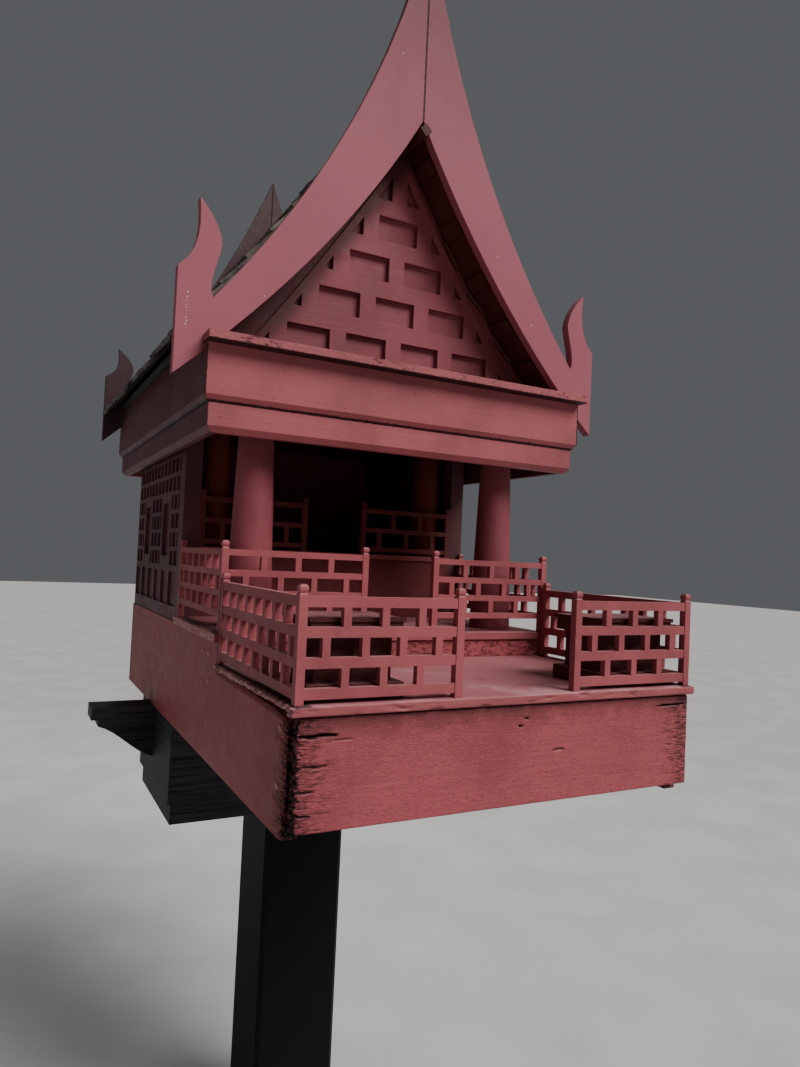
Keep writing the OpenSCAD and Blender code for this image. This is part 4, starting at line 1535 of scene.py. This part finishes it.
                    mesh.faces.new((sheet[row][column], sheet[row][column + 1],
                                    sheet[row + 1][column + 1], sheet[row + 1][column]))
            for edge in (0, self.columns):
                mesh.faces.new((lower[row][edge], lower[row + 1][edge],
                                upper[row + 1][edge], upper[row][edge]))
        for column in range(self.columns):
            for end in (0, self.rows):
                mesh.faces.new((lower[end][column], lower[end][column + 1],
                                upper[end][column + 1], upper[end][column]))

    def lay_caps(self, slope: SlopeWork) -> None:
        """Lays overlapping cap boards along one side of the ridge.

        Args:
            slope: The slope.
        """
        _, down, out = slope.profile.at(self.cap_width / 2)
        ridge = slope.profile.points[0]
        pitch = (slope.back - slope.front) / self.cap_count
        for i in range(self.cap_count):
            near = slope.front + i * pitch
            far = min(near + pitch + self.cap_lap, slope.back)
            shade = slope.chance.uniform(*self.cap_tones)
            rings = []
            for y, rise in ((near, self.cap_rise), (far, self.cap_seat)):
                under = rise - self.cap_thick
                ring = []
                for run, base in ((0.0, rise), (self.cap_width, rise), (self.cap_width, under),
                                  (0.0, under)):
                    point = ridge + down * run + out * (base if run else 0.0)
                    if run == 0.0:
                        point.z += base / max(out.z, 0.2)
                        point.x = 0.0
                    ring.append(slope.add_point(point, y, shade))
                rings.append(ring)
                slope.mesh.faces.new(ring)
            join_rings(slope.mesh, *rings)


@dataclass
class Fastenings:
    """Screw heads in the side boards and nail heads in the eaves boards.

    Attributes:
        house: The house's places.
        material: Finish of the screw heads.
        paint: Finish of the nail heads.
        screw_head: Radius of a screw head.
        nail_head: Radius of a nail head.
        around: Number of points around a head.
    """

    # Each screw's distance behind the front and height over the terrace floor, in millimetres
    SCREWS: ClassVar[tuple[tuple[float, float], ...]] = (
        (529, 10), (481, 10), (523, -51), (477, -42), (476, -115),
        (1320, 10), (1325, -60), (1322, -130), (60, -40), (62, -120))
    # The nails' distances from the middle, and each row's height and distance behind the face
    NAILS_ACROSS: ClassVar[tuple[float, ...]] = (-395, -300, -155, 0, 150, 300, 398)
    NAIL_ROWS: ClassVar[tuple[tuple[float, float], ...]] = ((545, 0), (492, 0), (447, 10))
    # A head's outline as shares of its radius: distance from the axis and height, with a dimple
    OUTLINE: ClassVar[tuple[tuple[float, float], ...]] = (
        (1.0, -0.05), (0.96, 0.16), (0.8, 0.3), (0.45, 0.36), (0.3, 0.2))

    house: House
    material: bpy.types.Material
    paint: bpy.types.Material
    screw_head: float = 5.0 * MM
    nail_head: float = 1.9 * MM
    around: int = 14

    def build(self) -> None:
        """Makes the screw heads and the nail heads."""
        screws, nails = bmesh.new(), bmesh.new()
        _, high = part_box("side_board_right")
        for side in (-1, 1):
            for y, z in self.SCREWS:
                spot = self.house.place(0, y, z)
                spot.x = side * high.x
                self.add_head(screws, spot, Vector((side, 0.0, 0.0)), self.screw_head)
        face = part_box("eaves_front")[0].y
        for x in self.NAILS_ACROSS:
            for z, back in self.NAIL_ROWS:
                spot = self.house.on_face(x, z, face + back * MM)
                self.add_head(nails, spot, Vector((0.0, -1.0, 0.0)), self.nail_head)
        make_piece("screw_heads", screws, self.material, smooth=True)
        make_piece("nail_heads", nails, self.paint, smooth=True)

    def add_head(self, mesh: bmesh.types.BMesh, spot: Vector, outward: Vector,
                 radius: float) -> None:
        """Adds one flat dome with a dimple in its middle.

        Args:
            mesh: The geometry.
            spot: The head's middle.
            outward: The direction in which it looks.
            radius: Its radius.
        """
        turn = outward.to_track_quat("Z", "Y").to_matrix()
        loops = []
        for width, height in self.OUTLINE:
            loop = []
            for i in range(self.around):
                angle = 2 * math.pi * i / self.around
                local = Vector((math.cos(angle) * width, math.sin(angle) * width, height))
                loop.append(mesh.verts.new(spot + turn @ (local * radius)))
            loops.append(loop)
        for lower, upper in zip(loops, loops[1:]):
            join_rings(mesh, lower, upper)
        mesh.faces.new(loops[-1])


@dataclass
class GableTrim:
    """Unpainted packing pieces between the pediment's edge and the soffit.

    Attributes:
        house: The house's places.
        material: Finish of the packing pieces.
        thickness: Their thickness, front to back.
        set_back: How far they stand behind the pediment's face.
    """

    # Each strip's upper end, lower end and width, in millimetres right of the middle and above
    # the terrace floor
    STRIPS: ClassVar[tuple[tuple[float, ...], ...]] = (
        (122, 926, 162, 872, 7), (194, 821, 244, 777, 6), (272, 723, 315, 684, 5))

    house: House
    material: bpy.types.Material
    thickness: float = 9 * MM
    set_back: float = 3 * MM

    def build(self) -> None:
        """Makes the packing pieces that show beside the right slope."""
        mesh = bmesh.new()
        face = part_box("pediment_front")[0].y + self.set_back
        for upper_x, upper_z, lower_x, lower_z, width in self.STRIPS:
            self.add_strip(mesh, self.house.on_face(upper_x, upper_z, face),
                           self.house.on_face(lower_x, lower_z, face), width * MM)
        make_piece("gable_packing", mesh, self.material)

    def add_strip(self, mesh: bmesh.types.BMesh, start: Vector, end: Vector,
                  width: float) -> None:
        """Adds one strip.

        Args:
            mesh: The geometry.
            start: The middle of its upper end.
            end: The middle of its lower end.
            width: Its width.
        """
        along = (end - start).normalized()
        across = Vector((-along.z, 0.0, along.x)) * width / 2
        outline = (start - across, start + across * 0.6, end + across, end - across)
        rings = [[mesh.verts.new(p + Vector((0.0, back, 0.0))) for p in outline]
                 for back in (0.0, self.thickness)]
        for ring in rings:
            mesh.faces.new(ring)
        join_rings(mesh, *rings)


@dataclass
class BirdDrips:
    """White drops and specks on the boards that face the front.

    Attributes:
        house: The house's places.
        material: Their chalky finish.
        streak: How far right of the middle the streak of drops is, in millimetres.
        specks: Number of specks on the eaves boards.
        flatness: Thickness of a drop as a share of its width.
        seed: Seed of the drops' chance.
    """

    # Heights of the drops in the streak over the terrace floor, in millimetres
    STREAK: ClassVar[tuple[float, ...]] = (664, 655, 648, 641, 636, 630, 618, 612, 606)
    # Single drops on the bargeboards: right of the middle and above the terrace floor
    SINGLE: ClassVar[tuple[tuple[float, float], ...]] = (
        (-322, 685), (-55, 1247), (300, 745), (200, 880))
    # The part of the eaves boards that has specks: right of the middle and above the floor
    SPECKS_ACROSS: ClassVar[tuple[float, float]] = (-400, 410)
    SPECKS_UP: ClassVar[tuple[float, float]] = (490, 565)

    house: House
    material: bpy.types.Material
    streak: float = -463
    specks: int = 9
    flatness: float = 0.35
    seed: int = 19

    def build(self) -> None:
        """Makes all drops as one piece."""
        mesh = bmesh.new()
        chance = random.Random(self.seed)
        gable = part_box("bargeboard_front_left")[0].y
        for height in self.STREAK:
            spot = self.house.on_face(self.streak + chance.uniform(-1.5, 1.5), height, gable)
            self.add_drop(mesh, spot, chance.uniform(0.6, 1.2) * MM, chance.uniform(1.0, 2.4))
        for x, z in self.SINGLE:
            self.add_drop(mesh, self.house.on_face(x, z, gable), 1.3 * MM, 1.2)
        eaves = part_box("eaves_front")[0].y
        for _ in range(self.specks):
            spot = self.house.on_face(chance.uniform(*self.SPECKS_ACROSS),
                                      chance.uniform(*self.SPECKS_UP), eaves)
            self.add_drop(mesh, spot, chance.uniform(0.4, 0.8) * MM, chance.uniform(0.8, 1.6))
        make_piece("white_drips", mesh, self.material, smooth=True)

    def add_drop(self, mesh: bmesh.types.BMesh, spot: Vector, radius: float,
                 tall: float) -> None:
        """Adds one flat drop on a face that looks to the front.

        Args:
            mesh: The geometry.
            spot: The drop's middle.
            radius: Half of its width.
            tall: Its height as a share of its width.
        """
        made = bmesh.ops.create_uvsphere(mesh, u_segments=10, v_segments=6, radius=radius)
        for vertex in made["verts"]:
            x, y, z = vertex.co
            vertex.co = spot + Vector((x, y * self.flatness, z * tall))


class Finishes:
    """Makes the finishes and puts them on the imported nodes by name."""

    # Height of the upper eaves board
    UPPER_BOARD = 104 * MM
    # Width of a bargeboard's tail, and how far up its joint with the slope shows
    TAIL_WIDTH = 65 * MM
    TAIL_JOINT = 75 * MM
    # How far shade hangs down the gable boards, the front columns and the inner columns
    GABLE_SHADE = 560 * MM
    FRONT_SHADE = 190 * MM
    INNER_SHADE = 260 * MM

    def __init__(self) -> None:
        """Makes the materials that several pieces share."""
        low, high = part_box("front_board")
        # The front board darkens downwards from under the terrace plate: painted shade with some
        # stains
        self.front_paint = PaintedWood("front_board_paint", relief=0.75, cracks=0.3, wear=0.6,
                                       pebble=0.6, brittle=(low.x, high.x),
                                       brittle_reach=80 * MM, rotten=(low.x + 5 * MM,),
                                       stain_and_shade=high.z).build()
        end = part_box("side_board_left")[0].y
        self.side_paint = PaintedWood("side_board_paint", grain=Grain.DEEP, relief=0.6,
                                      cracks=0.25, cloud=0.7, pebble=0.5, brittle=(end,),
                                      brittle_reach=60 * MM, rotten=(end + 3 * MM,)).build()
        low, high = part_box("eaves_front")
        self.eaves_gap = Seam(high.z - self.UPPER_BOARD, 0.0, 0.9, 2.0 * MM, level=True)
        mitres = tuple(Seam(x, high.z, 0.9, 1.9 * MM)
                       for x in (low.x + 0.6 * MM, high.x - 0.6 * MM))
        self.eaves = PaintedWood("eaves_paint_across", EAVES_RED, pebble=0.15,
                                 seams=(self.eaves_gap, *mitres)).build()
        self.deck = WornDeck("terrace_deck").build()
        self.shingle = WeatheredShingle("split_shingles").build()
        self.roof_board = BareTimber("roof_boards", light=CHARCOAL, sheen=0.1).build()
        self.packing = BareTimber("raw_packing", light=BROWN_WOOD, dark=RUST_RED,
                                  grain=Grain.SLOPE_RIGHT).build()
        self.heads = PlainFinish("painted_heads", HEAD_PINK, 0.42, 1.5 * MM).build()
        self.white = PlainFinish("chalk_drips", CHALK_WHITE, 0.75, 2 * MM).build()

    def coat(self, material: bpy.types.Material, *nodes: str) -> None:
        """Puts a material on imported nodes.

        Args:
            material: The finish.
            *nodes: The nodes' names.
        """
        for node in nodes:
            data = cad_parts[node].data
            data.materials.clear()
            data.materials.append(material)
            LOG.info("%s: %s", node, material.name)

    def coat_all(self) -> None:
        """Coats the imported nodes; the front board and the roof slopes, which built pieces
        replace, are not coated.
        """
        self.coat_floors()
        self.coat_room()
        self.coat_eaves()
        self.coat_gables()
        self.coat_fences()
        self.coat_timber()

    def coat_floors(self) -> None:
        """Coats the side boards, the floors, the risers and the altar tables."""
        self.coat(self.side_paint, "side_board_left", "side_board_right")
        self.coat(self.deck, "porch_floor", "room_floor", "terrace_floor")
        self.coat(PaintedWood("porch_riser_paint", relief=0.9, cracks=1.4, pebble=0.7,
                              fineness=1.9).build(), "porch_riser")
        # The room's riser gets a darker red: painted shade under the roof
        self.coat(PaintedWood("room_riser_paint", ROOM_SHADE_RED).build(), "room_riser")
        # The altar tables get a darker red: their own dark paint with painted shade under the roof
        self.coat(PaintedWood("altar_paint", DEEP_RED, cracks=0.3, pebble=0.4).build(),
                  "altar_left", "altar_right")

    def coat_room(self) -> None:
        """Coats the walls, the rear board and the columns."""
        self.coat(PaintedWood("red_paint_across", SHADED_RED).build(), "rear_board", "wall_rear")
        # Side walls get a darker red: painted shade on the house's sides
        self.coat(PaintedWood("red_paint_deep", SIDE_SHADE_RED, Grain.DEEP).build(),
                  "wall_left", "wall_right")
        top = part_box("front_columns")[1].z
        # Both sets of columns darken from the top down: painted shade under the eaves
        for node, name, colour, shade in (
                ("front_columns", "front_column_paint", SHADED_RED, self.FRONT_SHADE),
                ("inner_columns", "inner_column_paint", WARM_SHADE_RED, self.INNER_SHADE)):
            self.coat(PaintedWood(name, colour, Grain.UPRIGHT, stain_and_shade=top,
                                  stain_and_shade_reach=shade).build(), node)

    def coat_eaves(self) -> None:
        """Coats the eaves boards, the cornice and the soffit."""
        self.coat(self.eaves, "eaves_front", "eaves_rear")
        # Side eaves boards get a darker red: painted shade on the house's sides
        self.coat(PaintedWood("eaves_paint_deep", SIDE_SHADE_RED, Grain.DEEP,
                              seams=(self.eaves_gap,)).build(), "eaves_left", "eaves_right")
        joint = Seam(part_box("cornice_strips")[0].z, 0.0, 0.9, 1.4 * MM, level=True)
        self.coat(PaintedWood("cornice_paint", EAVES_RED, cracks=0.8, wear=0.9, pebble=0.6,
                              seams=(joint,), fineness=1.4).build(), "cornice_strips")
        self.coat(PaintedWood("soffit_paint", DEEP_RED, Grain.DEEP, relief=0.3, dust=0.0,
                              gloss=0.6).build(), "soffit", "soffit_battens")

    def coat_gables(self) -> None:
        """Coats the pediments and the bargeboards."""
        peak, foot, half = self.pediment_edge()
        # The pediment gets painted shade along its left rim, under the bargeboard
        self.coat(PaintedWood("pediment_paint", SHADED_RED, peak=peak,
                              slope=(peak - foot) / half).build(),
                  "pediment_front", "pediment_rear")
        low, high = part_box("bargeboard_front_right")
        middle = Seam(0.0, high.z + 10 * MM, 0.9, 1.6 * MM)
        for side, sign, grain in (("left", -1, Grain.SLOPE_LEFT), ("right", 1, Grain.SLOPE_RIGHT)):
            joint = Seam(sign * (high.x - self.TAIL_WIDTH), low.z + self.TAIL_JOINT, 0.2,
                         1.0 * MM)
            # The front bargeboards darken from the top down: painted shade
            self.coat(PaintedWood(f"bargeboard_paint_{side}", GABLE_RED, grain, relief=0.22,
                                  cracks=0.0, wear=0.15, gloss=0.6, sheen=0.16, cloud=0.25,
                                  pebble=0.05, seams=(joint, middle), stain_and_shade=high.z,
                                  stain_and_shade_reach=self.GABLE_SHADE).build(),
                      f"bargeboard_front_{side}")
            # Rear bargeboards: weathered dark red with painted shade
            self.coat(PaintedWood(f"rear_bargeboard_paint_{side}", REAR_SHADE_AND_WEATHER_RED, grain, relief=0.3,
                                  seams=(middle,)).build(), f"bargeboard_rear_{side}")

    def pediment_edge(self) -> tuple[float, float, float]:
        """Measures the outline of the pediment's raised bars.

        Returns:
            The Z of their peak and of their foot, and half their width.
        """
        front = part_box("pediment_front")[0].y
        face = [v.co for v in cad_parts["pediment_front"].data.vertices
                if v.co.y < front + MM]
        half = max(co.x for co in face)
        peak = max(co.z for co in face)
        foot = max(co.z for co in face if co.x > half - MM)
        return peak, foot, half

    def coat_fences(self) -> None:
        """Coats all fences; those of the room get a darker red that paints the shade under the
        roof.
        """
        outside = PaintedWood("fence_paint", FENCE_RED, relief=0.25, cracks=0.03, dust=0.6,
                              wear=0.45, edge=0.7 * MM).build()
        inside = PaintedWood("room_fence_paint", ROOM_SHADE_RED, relief=0.25, cracks=0.03,
                             dust=0.3, edge=0.7 * MM).build()
        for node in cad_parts:
            if "fence" in node:
                self.coat(inside if node.startswith("room") else outside, node)

    def coat_timber(self) -> None:
        """Coats the timber inside the house and the black timber under it."""
        self.coat(BareTimber("hidden_timber", light=RUST_RED).build(),
                  "joists", "floor_bearers", "purlins", "ridge_pole")
        self.coat(PaintedWood("tie_beam_paint", DEEP_RED).build(), "tie_beams")
        for grain, light, nodes in (
                (Grain.UPRIGHT, SOOT_BLACK, ("post",)),
                (Grain.DEEP, CHARCOAL, ("base_side_beams",)),
                (Grain.ACROSS, CHARCOAL, ("post_cap", "base_cross_beams", "bracket_arms"))):
            self.coat(BareTimber(f"black_timber_{grain.name.lower()}", light, SOOT_BLACK, grain,
                                 gloss=0.55, sheen=0.1).build(), *nodes)


@dataclass
class Studio:
    """Floor, light and camera.

    Attributes:
        eye: The camera's place.
        yaw: Its turn about Z in degrees, from looking along +Y.
        pitch: Its tilt upwards in degrees.
        roll: Its roll in degrees.
        focal: Focal length in pixels of a picture that is frame_height pixels high.
        frame_height: The picture's height in pixels.
        sensor: Height of the camera's sensor in millimetres.
        floor_half: Half the width of the floor.
    """

    eye: Vector
    yaw: float = -27.8
    pitch: float = 1.9
    roll: float = 2.6
    focal: float = 756.4
    frame_height: float = 1067.0
    sensor: float = 36.0
    floor_half: float = 30.0

    def build(self) -> None:
        """Makes the camera, the lights, the world and the floor."""
        self.add_camera()
        self.add_sun("key_light", towards=Vector((0.55, -1.0, 1.15)), strength=4.1, spread=38.0,
                     colour=(1.0, 0.985, 0.96))
        target = Vector((0.0, -0.1, 1.75))
        self.add_panel("fill_light", Vector((-3.8, -2.0, 2.2)), target, size=2.6, power=2.0,
                       colour=(0.9, 0.95, 1.0))
        self.add_panel("rear_light", Vector((1.4, 3.4, 3.4)), target, size=2.4, power=35.0,
                       colour=(0.95, 0.98, 1.0))
        world = bpy.data.worlds.new("studio")
        world.use_nodes = True
        background = world.node_tree.nodes["Background"]
        background.inputs["Color"].default_value = (0.86, 0.9, 0.95, 1.0)
        background.inputs["Strength"].default_value = 0.12
        bpy.context.scene.world = world
        self.add_floor()

    def add_camera(self) -> None:
        """Makes the camera at the photograph's place and angle."""
        yaw, pitch, roll = (math.radians(a) for a in (self.yaw, self.pitch, self.roll))
        forward = Vector((-math.sin(yaw) * math.cos(pitch), math.cos(yaw) * math.cos(pitch),
                          math.sin(pitch)))
        level = Vector((math.cos(yaw), math.sin(yaw), 0.0))
        over = level.cross(forward)
        right = level * math.cos(roll) + over * math.sin(roll)
        up = over * math.cos(roll) - level * math.sin(roll)
        camera = add_object("camera", bpy.data.cameras.new("camera"))
        turn = Matrix((right, up, -forward)).transposed().to_4x4()
        turn.translation = self.eye
        camera.matrix_world = turn
        camera.data.sensor_fit = "VERTICAL"
        camera.data.sensor_height = self.sensor
        camera.data.lens = self.focal / self.frame_height * self.sensor
        bpy.context.scene.camera = camera

    def add_sun(self, name: str, towards: Vector, strength: float, spread: float,
                colour: Colour) -> None:
        """Adds a wide, even light.

        Args:
            name: The light's name.
            towards: Direction from the house towards the light.
            strength: Its strength in watts per square metre.
            spread: Its width as seen from the house, in degrees.
            colour: Its colour.
        """
        lamp = bpy.data.lights.new(name, "SUN")
        lamp.energy = strength
        lamp.angle = math.radians(spread)
        lamp.color = colour
        light = add_object(name, lamp)
        light.rotation_euler = towards.to_track_quat("Z", "Y").to_euler()

    def add_panel(self, name: str, spot: Vector, target: Vector, size: float, power: float,
                  colour: Colour) -> None:
        """Adds one soft square light.

        Args:
            name: The light's name.
            spot: Its place.
            target: The point that it looks at.
            size: Length of its sides.
            power: Its power in watts.
            colour: Its colour.
        """
        lamp = bpy.data.lights.new(name, "AREA")
        lamp.size = size
        lamp.energy = power
        lamp.color = colour
        light = add_object(name, lamp)
        light.location = spot
        light.rotation_euler = (target - spot).to_track_quat("-Z", "Y").to_euler()

    def add_floor(self) -> None:
        """Makes the wide pale floor."""
        mesh = bmesh.new()
        bmesh.ops.create_grid(mesh, x_segments=1, y_segments=1, size=self.floor_half)
        data = bpy.data.meshes.new("studio_floor")
        mesh.to_mesh(data)
        mesh.free()
        data.materials.append(PlainFinish("pale_floor", FLOOR_GREY, 0.8, 0.4).build())
        floor = add_object("studio_floor", data)


def main() -> None:
    """Dresses the house and sets up the studio."""
    logging.basicConfig(level=logging.INFO, format="%(name)s: %(message)s")
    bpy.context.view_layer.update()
    house = House.read()
    Studio(eye=house.place(*EYE)).build()
    finishes = Finishes()
    finishes.coat_all()
    FloorBox(house, finishes.front_paint, finishes.deck).build()
    RottenSideBoard(finishes.side_paint).build()
    ShingleRoof(finishes.shingle, finishes.roof_board).build()
    GableTrim(house, finishes.packing).build()
    Fastenings(house, finishes.heads, finishes.eaves).build()
    BirdDrips(house, finishes.white).build()


if __name__ == "__main__":
    main()
